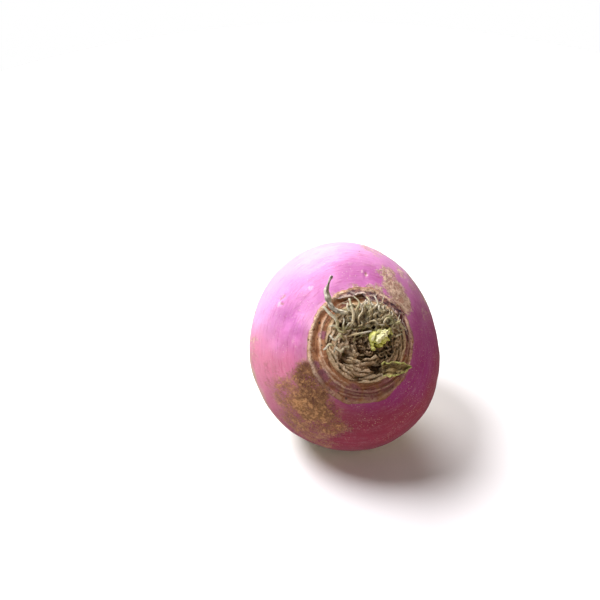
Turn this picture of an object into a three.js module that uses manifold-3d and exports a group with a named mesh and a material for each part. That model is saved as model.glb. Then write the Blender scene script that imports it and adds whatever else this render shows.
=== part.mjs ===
// A purple-top turnip, lying on its belly with the crown tipped forward and up.
// Millimetres, +Z up. The origin is the middle of the small flat spot that it rests on.
// The root is one solid. On its crown stand the dried bases of the old leaves, with loose strands of
// them, one long stalk, one withered leaf and a heart of new leaflets, each of them a solid of its own.
import * as THREE from "three";
import { mergeVertices } from "three/addons/utils/BufferGeometryUtils.js";
import Module from "manifold-3d";

const wasm = await Module();
wasm.setup();

// Driving dimensions of the swollen root.
const rootRadius = 38;
const crownHeight = 33;
const baseHeight = 35;
const ovalness = { amount: 0.054, direction: 107 };
const threeLobes = { amount: 0.014, direction: 85 };

// The taproot below it: where its flare leaves the belly, how it narrows, and its trimmed end.
const flareRadius = 20;
const neckRadius = 4.8;
const neckHeight = -41.5;
const tipRadius = 3;
const tailLength = 50.9;
const tailBend = 1.6;
// How its outline bends, as offsets from the points that the curves join.
const flareBend = { atBelly: [-6, -3.4], atNeck: [1.7, 6] };
const taperBend = { atNeck: [-0.9, -3.2], atTip: [0.4, 2.7] };
// The slightly domed cut end: its shoulder's share of the tip's radius, and how far each part stands out.
const cutEnd = { shoulder: 0.8, shoulderRise: 0.55, middleRise: 0.7 };

// The crown: a corky rim, a sunken band of leaf scars, and a flat mound that carries the leaf bases.
const rim = { radius: 19.4, height: 0.9, width: 0.85 };
const scarBand = { radius: 17, depth: 0.7, width: 1.5 };
const mound = { u: 1.6, v: 2.2, radius: 15.2, height: 31, edge: 1.3 };
// Distances outside the rim: where the shoulder's outline stops, where the root keeps its plain dome, and
// where the crown's rings start.
const outsideRim = { shoulder: 3, dome: 2.5, firstRing: 2.1 };

// The dried pieces on the crown, measured from the middle of the mound's top.
const leafBaseThickness = 1;
const leafBaseLean = 0.14;
const strandRadius = 0.45;
const strandStart = 9.4;
// The heights of a strand's points above the mound, from its foot to its tip.
const strandHeights = [6, 6.1, 5.4, 4.8];
const stalkRadius = 0.75;
const witheredThickness = 0.9;

// How finely the root's outline is drawn: steps in each stretch, and the spacing of its rings on the crown.
const outlineSteps = { flare: 7, taper: 4, belly: 9, shoulder: 9 };
const crownRingStep = 0.8;
const crownRingEnd = 11.5;
const moundInnerRing = 6;
const stepsAround = 48;

// How it lies: leaned to the right, then tipped forward, on a flat pressed into the belly.
const leanRight = 11;
const tipForward = 48;
const flatDepth = 1.25;

// Neighbouring pieces keep this gap.
const gap = 0.3;

const radians = THREE.MathUtils.degToRad;

const skin = new THREE.MeshStandardMaterial({ color: 0xb45a92, roughness: 0.45, metalness: 0 });
const straw = new THREE.MeshStandardMaterial({ color: 0xa08a62, roughness: 0.85, metalness: 0 });
const dryGreen = new THREE.MeshStandardMaterial({ color: 0x7d7448, roughness: 0.8, metalness: 0 });
const freshGreen = new THREE.MeshStandardMaterial({ color: 0xb9bf52, roughness: 0.6, metalness: 0 });

function namedMesh(name, geometry, material) {
  const mesh = new THREE.Mesh(geometry, material);
  mesh.name = name;
  return mesh;
}

// Boolean cuts work on solids whose shared vertices are merged.
function toSolid(geometry) {
  const bare = new THREE.BufferGeometry();
  bare.setAttribute("position", geometry.getAttribute("position"));
  bare.setIndex(geometry.index);
  const merged = mergeVertices(bare, 1e-4);
  return new wasm.Manifold(
    new wasm.Mesh({
      numProp: 3,
      vertProperties: new Float32Array(merged.attributes.position.array),
      triVerts: new Uint32Array(merged.index.array),
    }),
  );
}

function toGeometry(solid) {
  const mesh = solid.getMesh();
  const geometry = new THREE.BufferGeometry();
  geometry.setAttribute("position", new THREE.BufferAttribute(mesh.vertProperties, 3));
  geometry.setIndex(new THREE.BufferAttribute(mesh.triVerts, 1));
  return geometry;
}

// Moves every vertex of a geometry with a function that changes the point in place.
function reshape(geometry, move) {
  const position = geometry.getAttribute("position");
  const point = new THREE.Vector3();
  for (let i = 0; i < position.count; i++) {
    point.fromBufferAttribute(position, i);
    move(point);
    position.setXYZ(i, point.x, point.y, point.z);
  }
  return geometry;
}

// ---- the root ----

// The taproot's outline from the belly to the rim of its cut end.
function tailOutline() {
  const start = new THREE.Vector2(flareRadius, -baseHeight * Math.sqrt(1 - (flareRadius / rootRadius) ** 2));
  const neck = new THREE.Vector2(neckRadius, neckHeight);
  const tip = new THREE.Vector2(tipRadius, -tailLength);
  const offset = (point, [x, y]) => new THREE.Vector2(point.x + x, point.y + y);
  const flare = new THREE.CubicBezierCurve(
    start,
    offset(start, flareBend.atBelly),
    offset(neck, flareBend.atNeck),
    neck,
  );
  const taper = new THREE.CubicBezierCurve(
    neck,
    offset(neck, taperBend.atNeck),
    offset(tip, taperBend.atTip),
    tip,
  );
  return [...flare.getPoints(outlineSteps.flare), ...taper.getPoints(outlineSteps.taper).slice(1)];
}

// Half of the root's section, from the tail's cut end up to the middle of the crown.
function rootOutline() {
  const tailEnd = [
    new THREE.Vector2(0, -tailLength - cutEnd.middleRise),
    new THREE.Vector2(tipRadius * cutEnd.shoulder, -tailLength - cutEnd.shoulderRise),
  ];
  const belly = [];
  const flareAngle = Math.asin(flareRadius / rootRadius);
  for (let i = 1; i <= outlineSteps.belly; i++) {
    const angle = flareAngle + (i / outlineSteps.belly) * (Math.PI / 2 - flareAngle);
    belly.push(new THREE.Vector2(rootRadius * Math.sin(angle), -baseHeight * Math.cos(angle)));
  }
  const shoulder = [];
  const shoulderAngle = Math.asin((rim.radius + outsideRim.shoulder) / rootRadius);
  for (let i = 1; i <= outlineSteps.shoulder; i++) {
    const angle = Math.PI / 2 - (i / outlineSteps.shoulder) * (Math.PI / 2 - shoulderAngle);
    shoulder.push(new THREE.Vector2(rootRadius * Math.sin(angle), crownHeight * Math.cos(angle)));
  }
  const crown = [];
  for (let radius = rim.radius + outsideRim.firstRing; radius > crownRingEnd; radius -= crownRingStep)
    crown.push(new THREE.Vector2(radius, crownHeight * Math.sqrt(1 - (radius / rootRadius) ** 2)));
  crown.push(new THREE.Vector2(moundInnerRing, mound.height), new THREE.Vector2(0, mound.height));
  return [...tailEnd, ...tailOutline().reverse(), ...belly, ...shoulder, ...crown];
}

// How far the root swells at an angle round its axis: slightly oval, with three soft lobes.
function swelling(angle) {
  return (
    1 +
    ovalness.amount * Math.cos(2 * (angle - radians(ovalness.direction))) +
    threeLobes.amount * Math.cos(3 * (angle - radians(threeLobes.direction)))
  );
}

// The corky rim and the sunken band, then the flat mound, in place of the plain dome.
function crownLevel(u, v, domeHeight) {
  const fromAxis = Math.hypot(u, v);
  const fromMound = Math.hypot(u - mound.u, v - mound.v);
  const ridge = rim.height * Math.exp(-(((fromAxis - rim.radius) / rim.width) ** 2));
  const band = scarBand.depth * Math.exp(-(((fromAxis - scarBand.radius) / scarBand.width) ** 2));
  const onMound = THREE.MathUtils.smoothstep(mound.radius - fromMound, -mound.edge, 0);
  return THREE.MathUtils.lerp(domeHeight + ridge - band, mound.height, onMound);
}

function rootBody() {
  const geometry = new THREE.LatheGeometry(rootOutline(), stepsAround).rotateX(Math.PI / 2);
  reshape(geometry, (point) => {
    const radius = Math.hypot(point.x, point.y);
    const angle = Math.atan2(point.y, point.x);
    // The crown and the tail stay round; the belly takes the full swelling.
    const full = THREE.MathUtils.smoothstep(radius, rim.radius, rootRadius * 0.8);
    const scale = THREE.MathUtils.lerp(1, swelling(angle), full);
    point.x *= scale;
    point.y *= scale;
    if (point.z > 0 && radius < rim.radius + outsideRim.dome) point.z = crownLevel(point.x, point.y, point.z);
    const downTail = Math.max(0, (-baseHeight - point.z) / (tailLength - baseHeight));
    point.x += tailBend * downTail ** 2;
  });
  return geometry;
}

// ---- what stands on the crown, measured from the middle of the mound's top ----

// One old leaf base: an arc-shaped upright scale, leaning inwards.
function leafBase(ring, startAngle, endAngle) {
  const outline = new THREE.Shape();
  outline.absarc(0, 0, ring.radius + leafBaseThickness, radians(startAngle), radians(endAngle), false);
  outline.absarc(0, 0, ring.radius, radians(endAngle), radians(startAngle), true);
  const settings = { depth: ring.height, bevelEnabled: false, curveSegments: 7 };
  const plate = new THREE.ExtrudeGeometry(outline, settings);
  return reshape(plate, (point) => {
    const radius = Math.hypot(point.x, point.y);
    const pulledIn = (radius - leafBaseLean * point.z) / radius;
    point.x *= pulledIn;
    point.y *= pulledIn;
    point.z += gap;
  });
}

// The rings of leaf bases, from the mound's edge inwards. The inner ones are open on the heart's side.
const leafRings = [
  { radius: 13.6, height: 2.4, count: 5, firstAngle: 190, span: 62, step: 72 },
  { radius: 11.7, height: 3.6, count: 5, firstAngle: 226, span: 60, step: 72 },
  { radius: 9.8, height: 4.8, count: 3, firstAngle: 75, span: 60, step: 70 },
  { radius: 7.9, height: 5.8, count: 3, firstAngle: 110, span: 60, step: 72 },
];

function leafBases() {
  const bases = [];
  for (const ring of leafRings)
    for (let i = 0; i < ring.count; i++) {
      const start = ring.firstAngle + i * ring.step;
      const name = "leaf_base_" + String(bases.length + 1).padStart(2, "0");
      bases.push(namedMesh(name, leafBase(ring, start, start + ring.span), straw));
    }
  return bases;
}

// A thin round body along a smooth line through its points.
function rodAlong(points, radius, sides, steps) {
  const section = new THREE.Shape();
  for (let i = 0; i < sides; i++) {
    const angle = (i / sides) * 2 * Math.PI;
    const corner = [radius * Math.cos(angle), radius * Math.sin(angle)];
    if (i === 0) section.moveTo(...corner);
    else section.lineTo(...corner);
  }
  const line = new THREE.CatmullRomCurve3(points.map((p) => new THREE.Vector3(...p)));
  return new THREE.ExtrudeGeometry(section, { steps, bevelEnabled: false, extrudePath: line });
}

// A loose dry strand: it starts on the leaf bases, swings sideways and ends beyond the mound's edge.
function dryStrand(angle, reach, swing, rise) {
  const direction = radians(angle);
  const along = (distance, side, height) => [
    distance * Math.cos(direction) - side * Math.sin(direction),
    distance * Math.sin(direction) + side * Math.cos(direction),
    height,
  ];
  const [foot, crest, bend, tip] = strandHeights;
  const route = [
    along(strandStart, 0, foot),
    along(strandStart + reach * 0.3, swing, crest + rise * 0.4),
    along(strandStart + reach * 0.65, -swing * 0.6, bend + rise),
    along(strandStart + reach, swing * 0.5, tip + rise * 0.7),
  ];
  return rodAlong(route, strandRadius, 6, 9);
}

const strandShapes = [
  { angle: 38, reach: 4.6, swing: -0.7, rise: 0.4 },
  { angle: 52, reach: 5.4, swing: 0.8, rise: 1.2 },
  { angle: 66, reach: 6.6, swing: -0.6, rise: 0.3 },
  { angle: 80, reach: 7.2, swing: 0.7, rise: 1 },
  { angle: 94, reach: 6.2, swing: -0.8, rise: 0.2 },
  { angle: 108, reach: 8, swing: 0.7, rise: 0.9 },
  { angle: 122, reach: 6.4, swing: -0.7, rise: 0.5 },
  { angle: 158, reach: 6, swing: 0.8, rise: 0.8 },
  { angle: 176, reach: 4.4, swing: -0.6, rise: 0.3 },
  { angle: 194, reach: 4, swing: 0.7, rise: 0.5 },
];

function dryStrands() {
  return strandShapes.map((s, i) =>
    namedMesh(
      "dry_strand_" + String(i + 1).padStart(2, "0"),
      dryStrand(s.angle, s.reach, s.swing, s.rise),
      straw,
    ),
  );
}

// The one long stalk left of an old leaf, arching out over the rim and the shoulder.
function driedStalk() {
  const route = [
    [-7, 9.6, 5.6],
    [-11.2, 10.8, 3.6],
    [-13.8, 14.2, 2],
    [-13.4, 18.4, 0.6],
    [-11.2, 22.8, -0.8],
  ];
  return namedMesh("dried_stalk", rodAlong(route, stalkRadius, 8, 16), straw);
}

// A crumpled brown leaf that lies over the right side of the crown.
function witheredLeaf() {
  const outline = new THREE.Shape();
  outline.moveTo(7.2, -4.6);
  outline.quadraticCurveTo(10, -3.4, 16.4, -8.6);
  outline.lineTo(13.2, -9.4);
  outline.lineTo(13.8, -13.2);
  outline.quadraticCurveTo(8, -12.8, 4.8, -10.2);
  outline.closePath();
  const settings = { depth: witheredThickness, bevelEnabled: false, curveSegments: 5 };
  const leaf = new THREE.ExtrudeGeometry(outline, settings);
  leaf.translate(0, 0, leafRings[1].height + 2 * gap);
  return namedMesh("withered_leaf", leaf, dryGreen);
}

// A leaflet of the new heart: an upright rounded blade with a ruffled top.
const heartLeaflets = [
  { u: -0.3, v: -0.1, width: 1.3, length: 2.1, height: 8.6, turn: 5 },
  { u: 3.6, v: 1.8, width: 1.8, length: 2.4, height: 9.6, turn: -60 },
  { u: 7.3, v: 3.6, width: 1.4, length: 1.8, height: 8.2, turn: -55 },
  { u: 0.6, v: -3.8, width: 1.2, length: 1.5, height: 6.8, turn: 75 },
  { u: 4.9, v: -2, width: 1.2, length: 1.9, height: 7.4, turn: 70 },
];

function heartLeaflet(shape, index) {
  const leaflet = new THREE.SphereGeometry(1, 10, 7).rotateX(Math.PI / 2);
  reshape(leaflet, (point) => {
    const ruffle = 1 + 0.1 * Math.max(0, point.z) * Math.cos(5 * Math.atan2(point.y, point.x) + index);
    point.x *= shape.width * ruffle;
    point.y *= shape.length * ruffle;
    point.z = gap + ((point.z + 1) / 2) * shape.height;
  });
  const mesh = namedMesh("heart_leaflet_" + (index + 1), leaflet, freshGreen);
  mesh.position.set(shape.u, shape.v, 0);
  mesh.rotation.z = radians(shape.turn);
  return mesh;
}

// ---- the whole turnip, lying down ----

// The height of the belly's lowest point once the turnip is leaned and tipped.
function lowestBelly(geometry, placed) {
  const position = geometry.getAttribute("position");
  const point = new THREE.Vector3();
  let lowest = Infinity;
  for (let i = 0; i < position.count; i++) {
    point.fromBufferAttribute(position, i);
    const onTail = point.z < -baseHeight;
    if (!onTail) lowest = Math.min(lowest, point.applyMatrix4(placed).z);
  }
  return lowest;
}

// Cuts off what lies below Z = 0, which leaves the flat that the belly rests on.
function pressFlat(geometry, placed) {
  const resting = toSolid(geometry.clone().applyMatrix4(placed));
  const wide = 4 * rootRadius;
  const floorBlock = toSolid(new THREE.BoxGeometry(wide, wide, rootRadius).translate(0, 0, -rootRadius / 2));
  return toGeometry(resting.subtract(floorBlock));
}

// The middle of the flat, from the vertices that lie on Z = 0.
function middleOfFlat(resting) {
  const position = resting.getAttribute("position");
  const box = new THREE.Box3();
  for (let i = 0; i < position.count; i++) {
    const point = new THREE.Vector3().fromBufferAttribute(position, i);
    if (Math.abs(point.z) < 1e-3) box.expandByPoint(point);
  }
  return box.getCenter(new THREE.Vector3());
}

const lying = new THREE.Group();
lying.rotation.set(radians(tipForward), radians(leanRight), 0);
lying.updateMatrix();
const body = rootBody();
lying.position.z = -lowestBelly(body, lying.matrix) - flatDepth;
lying.updateMatrix();
const restingBody = pressFlat(body, lying.matrix);
const flatMiddle = middleOfFlat(restingBody);
restingBody.applyMatrix4(lying.matrix.clone().invert());
lying.position.x = -flatMiddle.x;
lying.position.y = -flatMiddle.y;
lying.add(namedMesh("root", restingBody, skin));

const crownTop = new THREE.Group();
crownTop.position.set(mound.u, mound.v, mound.height);
crownTop.add(...leafBases(), ...dryStrands(), driedStalk(), witheredLeaf());
crownTop.add(...heartLeaflets.map(heartLeaflet));
lying.add(crownTop);

const turnip = new THREE.Group();
turnip.add(lying);

export default turnip;
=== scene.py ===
import bmesh
import bpy
import math
import random
from mathutils import Matrix, Vector, noise
from mathutils.geometry import interpolate_bezier
from types import SimpleNamespace


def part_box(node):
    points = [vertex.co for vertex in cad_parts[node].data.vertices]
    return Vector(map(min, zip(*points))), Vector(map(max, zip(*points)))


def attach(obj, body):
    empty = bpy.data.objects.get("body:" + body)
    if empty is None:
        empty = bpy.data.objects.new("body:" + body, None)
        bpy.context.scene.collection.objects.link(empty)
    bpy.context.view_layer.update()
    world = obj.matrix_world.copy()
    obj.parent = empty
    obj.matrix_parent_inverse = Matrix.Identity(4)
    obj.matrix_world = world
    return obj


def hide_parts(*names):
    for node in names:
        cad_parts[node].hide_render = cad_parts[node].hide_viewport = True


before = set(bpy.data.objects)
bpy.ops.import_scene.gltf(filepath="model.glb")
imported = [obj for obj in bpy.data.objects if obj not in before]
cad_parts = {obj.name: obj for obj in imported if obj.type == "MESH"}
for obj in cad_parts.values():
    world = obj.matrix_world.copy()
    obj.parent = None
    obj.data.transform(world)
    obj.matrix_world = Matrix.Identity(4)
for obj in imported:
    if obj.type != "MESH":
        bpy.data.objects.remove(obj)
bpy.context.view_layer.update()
mm = 0.001
rootLow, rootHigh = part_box("root")

# how the root lies: its axis points at the crown, tipped forward and leaned to the right
lie = {
    "tipForward": 48,       # degrees
    "leanRight": 11,
    "fromFront": 35.74,     # mm from the root's box to the middle of the belly
    "fromTop": 37.34,
}
bellyMiddle = Vector((
    (rootLow.x + rootHigh.x) / 2,
    rootLow.y + lie["fromFront"] * mm,
    rootHigh.z - lie["fromTop"] * mm,
))
lieDown = (
    Matrix.Translation(bellyMiddle)
    @ Matrix.Rotation(math.radians(lie["tipForward"]), 4, "X")
    @ Matrix.Rotation(math.radians(lie["leanRight"]), 4, "Y")
    @ Matrix.Scale(mm, 4)
)

cameraPlace = {
    "elevation": 42,
    "distance": 470,        # mm from the belly's middle
    "lens": 73.7,
    "sensor": 36,
    "aimLeft": 17.7,        # mm that the line of sight passes beside the belly's middle
    "aimAbove": 17.6,
}


def makeCamera():
    elevation = math.radians(cameraPlace["elevation"])
    back = Vector((0, -math.cos(elevation), math.sin(elevation)))
    up = Vector((0, math.sin(elevation), math.cos(elevation)))
    left = Vector((-1, 0, 0))
    data = bpy.data.cameras.new("viewCamera")
    data.lens = cameraPlace["lens"]
    data.sensor_width = cameraPlace["sensor"]
    data.clip_start = 0.01
    camera = bpy.data.objects.new("viewCamera", data)
    bpy.context.scene.collection.objects.link(camera)
    camera.location = bellyMiddle + back * cameraPlace["distance"] * mm
    aim = bellyMiddle + (up * cameraPlace["aimAbove"] + left * cameraPlace["aimLeft"]) * mm
    camera.rotation_mode = "QUATERNION"
    camera.rotation_quaternion = (aim - camera.location).to_track_quat("-Z", "Y")
    bpy.context.scene.camera = camera


makeCamera()
print("camera placed")


def newPiece(bm, name, material, smooth=True):
    mesh = bpy.data.meshes.new(name)
    bm.to_mesh(mesh)
    bm.free()
    if smooth:
        mesh.shade_smooth()
    piece = bpy.data.objects.new(name, mesh)
    bpy.context.scene.collection.objects.link(piece)
    mesh.materials.append(material)
    return piece


def between(low, high, value):
    # a soft step from 0 at low to 1 at high
    share = max(0.0, min(1.0, (value - low) / (high - low)))
    return share * share * (3 - 2 * share)


def hump(distance, width):
    # 1 in the middle, falling to nothing on both sides
    return math.exp(-(distance / width) ** 2)


def wobble(point, size, seed=0.0):
    # soft noise from -1 to 1 with features about size mm apart
    return noise.noise(Vector(point) / size + Vector((seed, seed * 0.7, -seed)))


def uneven(point, waves):
    # each wave has a height and a size in mm, and a seed
    return sum(height * wobble(point, size, seed) for height, size, seed in waves)


def sheetWaves(s, t, waves):
    # over a sheet: each wave has a strength, how many come along it and across it, and a seed
    return sum(deep * noise.noise((s * along, t * across, seed)) for deep, along, across, seed in waves)


def angleGap(a, b):
    # degrees from b to a, from -180 to 180
    return (a - b + 180) % 360 - 180


def feed(socket, value):
    # a socket takes another node's output or a plain value; a colour is given without its alpha
    if isinstance(value, bpy.types.NodeSocket):
        socket.id_data.links.new(value, socket)
    elif socket.type == "RGBA":
        socket.default_value = (*value, 1.0)
    else:
        socket.default_value = value


def addNode(tree, kind, inputs=None, **settings):
    node = tree.nodes.new(kind)
    for name, value in settings.items():
        setattr(node, name, value)
    for name, value in (inputs or {}).items():
        feed(node.inputs[name], value)
    return node


def treeOf(values):
    return next(value.id_data for value in values if isinstance(value, bpy.types.NodeSocket))


def calc(operation, *values, clamp=False):
    inputs = dict(enumerate(values))
    node = addNode(treeOf(values), "ShaderNodeMath", inputs, operation=operation, use_clamp=clamp)
    return node.outputs[0]


def plus(first, second, clamp=False):
    return calc("ADD", first, second, clamp=clamp)


def times(first, second, clamp=False):
    return calc("MULTIPLY", first, second, clamp=clamp)


def scaled(value, factor, offset):
    return calc("MULTIPLY_ADD", value, factor, offset)


def lessThan(whole, value):
    return calc("SUBTRACT", whole, value)


def larger(first, second):
    return calc("MAXIMUM", first, second)


def spread(value, low, high, toLow=0.0, toHigh=1.0):
    # soft step from toLow to toHigh as value goes from low to high
    ends = {"Value": value, "From Min": low, "From Max": high, "To Min": toLow, "To Max": toHigh}
    node = addNode(value.id_data, "ShaderNodeMapRange", ends, interpolation_type="SMOOTHSTEP")
    return node.outputs["Result"]


def blendColor(share, first, second):
    # a Mix node's colours are its inputs 6 and 7 and its output 2
    inputs = {"Factor": share, 6: first, 7: second}
    return addNode(treeOf((share, first)), "ShaderNodeMix", inputs, data_type="RGBA").outputs[2]


def noiseFac(vector, scale, detail=3.0, roughness=0.55, distortion=0.0):
    inputs = {"Vector": vector, "Scale": scale, "Detail": detail, "Roughness": roughness}
    inputs["Distortion"] = distortion
    return addNode(vector.id_data, "ShaderNodeTexNoise", inputs).outputs["Fac"]


def axesOf(vector):
    return addNode(vector.id_data, "ShaderNodeSeparateXYZ", {0: vector}).outputs


def readAttribute(tree, name):
    return addNode(tree, "ShaderNodeAttribute", attribute_name=name).outputs["Fac"]


def newMaterial(name):
    material = bpy.data.materials.new(name)
    material.use_nodes = True
    tree = material.node_tree
    shader = tree.nodes["Principled BSDF"]
    return material, tree, shader


def finishShader(shader, color, roughness, height, bumpDistance, gloss):
    feed(shader.inputs["Base Color"], color)
    feed(shader.inputs["Roughness"], roughness)
    feed(shader.inputs["Specular IOR Level"], gloss)
    inputs = {"Height": height, "Distance": bumpDistance, "Strength": 1.0}
    bump = addNode(shader.id_data, "ShaderNodeBump", inputs)
    feed(shader.inputs["Normal"], bump.outputs["Normal"])


stageLook = {
    "floorColor": (0.90, 0.90, 0.90),
    "floorRoughness": 0.9,
    "floorGloss": 0.1,
    "worldColor": (1.0, 1.0, 1.0),
    "worldStrength": 0.16,
    "backdropStrength": 1.0,    # how bright the studio behind the floor looks
    "floorRadius": 340,         # mm
    "floorSteps": 128,
    # each light's place in mm from the turnip, its width, its power in watts, its colour,
    # and whether the turnip mirrors it
    "lights": {
        "keyLight": ((-400, 110, 600), 400, 8.2, (0.99, 0.96, 1.0), True),
        "backLight": ((-190, 620, 360), 560, 6.6, (1.0, 0.98, 1.0), True),
        "fillLight": ((540, -230, 230), 500, 0.85, (1.0, 0.66, 0.48), False),
    },
}


def makeFloor():
    bm = bmesh.new()
    bmesh.ops.create_circle(
        bm,
        cap_ends=True,
        radius=stageLook["floorRadius"] * mm,
        segments=stageLook["floorSteps"],
    )
    material, _, shader = newMaterial("paleFloor")
    feed(shader.inputs["Base Color"], stageLook["floorColor"])
    feed(shader.inputs["Roughness"], stageLook["floorRoughness"])
    feed(shader.inputs["Specular IOR Level"], stageLook["floorGloss"])
    floor = newPiece(bm, "floor", material, smooth=False)
    floor.location.z = rootLow.z
    floor.visible_glossy = False


def makeStudio():
    # an even world that only the camera sees bright
    world = bpy.data.worlds.new("studio")
    bpy.context.scene.world = world
    world.use_nodes = True
    tree = world.node_tree
    seen = tree.nodes.new("ShaderNodeLightPath").outputs["Is Camera Ray"]
    gain = stageLook["backdropStrength"] - stageLook["worldStrength"]
    background = tree.nodes["Background"]
    feed(background.inputs["Color"], stageLook["worldColor"])
    feed(background.inputs["Strength"], scaled(seen, gain, stageLook["worldStrength"]))
    bpy.context.scene.view_settings.view_transform = "Standard"


def makeLights():
    for name, (place, width, power, color, mirrored) in stageLook["lights"].items():
        data = bpy.data.lights.new(name, "AREA")
        data.shape = "DISK"
        data.size = width * mm
        data.energy = power
        data.color = color
        lamp = bpy.data.objects.new(name, data)
        bpy.context.scene.collection.objects.link(lamp)
        lamp.location = bellyMiddle + Vector(place) * mm
        lamp.visible_glossy = mirrored
        lamp.rotation_mode = "QUATERNION"
        lamp.rotation_quaternion = (bellyMiddle - lamp.location).to_track_quat("-Z", "Y")


makeFloor()
makeStudio()
makeLights()
print("stage lit")


rootShape = {
    "radius": 38,
    "crownHeight": 33,
    "baseHeight": 35,
    "ovalness": 0.054,
    "ovalTurn": 107,
    "lobes": 0.014,
    "lobeTurn": 85,
    "flareRadius": 20,
    "neckRadius": 4.8,
    "neckHeight": -41.5,
    "tipRadius": 3,
    "tailLength": 50.9,
    "tailBend": 1.6,
    "tipHandle": (0.4, 2.7),    # handles of the curves at the tail's tip, its neck and the flare's start
    "neckDown": (-0.9, -3.2),
    "neckUp": (1.7, 6),
    "flareHandle": (-6, -3.4),
    "tailRows": 16,
    "flareRows": 26,
    "cutDepth": 0.7,            # the cut end of the tail stands out by this
    "cutSlope": 0.15,
    "cutRings": (0, 0.3, 0.6, 0.85),
    "roundSteps": 384,
    "quickShare": 3,
    "bellyRows": 62,
    "shoulderRows": 46,
    "crownRowGap": 0.32,
    "crownReach": 3,            # mm past the rim where the fine rows start
    "flatFrom": 20,             # mm from the back, where the resting flat stops
}

# waves are lists of a height and a size in mm and a seed
crownShape = {
    "rimPlace": (0.2, 0.7),
    "rimStretch": (0.965, 1.04),
    "rimRadius": 19.4,
    "rimHeight": 0.55,
    "rimWidth": 0.85,
    "rimWander": [(0.5, 9, 3), (0.16, 3, 5)],
    "rimStrength": 0.75,
    "rimBreaks": [(0.6, 7, 7), (0.4, 2.2, 8)],
    "rimFade": (2, 4),          # mm past the rim where the crown's shape fades out
    "bandDepth": 0.9,
    "bandRadius": 16.6,
    "bandWidth": 1.9,
    "creaseDepth": 0.16,
    "creaseSizes": (0.2, 1.25),     # how often creases come along the ring and across it
    "moundPlace": (1.6, 2.2),
    "moundRadius": 15.2,
    "moundHeight": 31,
    "moundEdge": 1.3,
    "moundWander": [(0.7, 5, 13)],
    "moundRough": [(0.35, 2.2, 15), (0.2, 1.0, 17)],
    # leaf scars inside the rim, round the mound's middle: radius, height, width, first and last angle
    "scars": [
        (16.5, 0.6, 0.34, 138, 258), (17.7, 0.7, 0.42, 196, 322), (18.9, 0.5, 0.32, 226, 300),
        (20.1, 0.4, 0.30, 240, 286), (16.2, 0.5, 0.32, 292, 376), (17.1, 0.4, 0.28, 330, 402),
        (17.2, 0.45, 0.36, 58, 124), (16.1, 0.4, 0.30, 84, 150),
    ],
    "scarWander": (0.45, 6),    # height and size of the wave in mm
    "scarStrength": 0.85,
    "scarBreaks": (0.5, 3),
    "scarFade": 16,             # degrees
}

# marks on the skin, by the way they lie from the root's middle: degrees round the axis, then degrees
# down from the crown
skinMarks = {
    # patches, with their size in mm and their strength
    "scurf": [
        (210, 39, 7.0, 0.9), (226, 42, 7.5, 1.0), (233, 50, 9.0, 1.0), (244, 45, 6.0, 0.8),
        (252, 55, 8.0, 0.68), (218, 58, 9.5, 0.72), (236, 68, 10.5, 0.66), (252, 74, 9.0, 0.5),
        (205, 66, 8.0, 0.35),
    ],
    "tan": [
        (60, 47, 5.5, 1.0), (48, 42, 5.5, 1.0), (68, 54, 5.0, 0.75), (96, 36, 4.2, 0.55),
        (76, 37, 4.5, 0.65), (120, 35, 3.2, 0.4), (78, 76, 7.0, 0.45), (52, 66, 7.0, 0.45),
        (30, 66, 7.0, 0.4), (182, 84, 7.0, 0.35),
    ],
    # purple left on the crown's band
    "purple": [
        (163, 26, 2.0, 0.75), (218, 30, 3.2, 0.85), (203, 31, 2.4, 0.6), (20, 31, 4.4, 0.7),
        (2, 31, 4.0, 0.5), (40, 33, 4.0, 0.7), (62, 34, 4.6, 1.0), (80, 33, 3.0, 0.8),
        (109, 27, 3.0, 0.6), (238, 30, 3.0, 0.8), (262, 29, 4.0, 0.9), (285, 30, 3.6, 0.8),
        (308, 29, 3.8, 0.8), (335, 31, 4.0, 0.7),
    ],
    # small pale dry spots
    "scuff": [
        (85, 48, 1.0, 0.75), (88, 50, 0.8, 0.75), (130, 50, 1.6, 0.55), (152, 62, 1.7, 0.5),
        (146, 63, 1.4, 0.5), (160, 46, 2.4, 0.25), (176, 41, 4.5, 0.30), (198, 39, 4.0, 0.38),
        (30, 50, 4.0, 0.25), (352, 52, 3.0, 0.22),
    ],
    # dents, with their size and depth in mm
    "dents": [
        (172, 43, 2.6, 0.6), (183, 49, 3.4, 0.6), (160, 52, 4.4, 0.55), (196, 56, 3.6, 0.5),
        (176, 62, 3.0, 0.4), (145, 46, 3.6, 0.35), (20, 60, 6.0, 0.4), (120, 60, 6.0, 0.35),
        (300, 62, 6.0, 0.35),
    ],
    # short cuts, with the way they run in degrees and their length in mm
    "nicks": [
        (147, 62, 25, 2.2), (151, 60, 70, 0.9), (85, 48, 90, 1.6), (20, 96, 10, 3.0),
        (32, 103, 160, 2.6), (8, 108, 30, 2.0), (96, 104, 12, 3.2), (120, 98, 165, 2.4),
        (70, 118, 20, 2.4), (200, 106, 15, 2.6), (320, 100, 8, 2.8), (338, 116, 170, 2.2),
    ],
}

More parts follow.
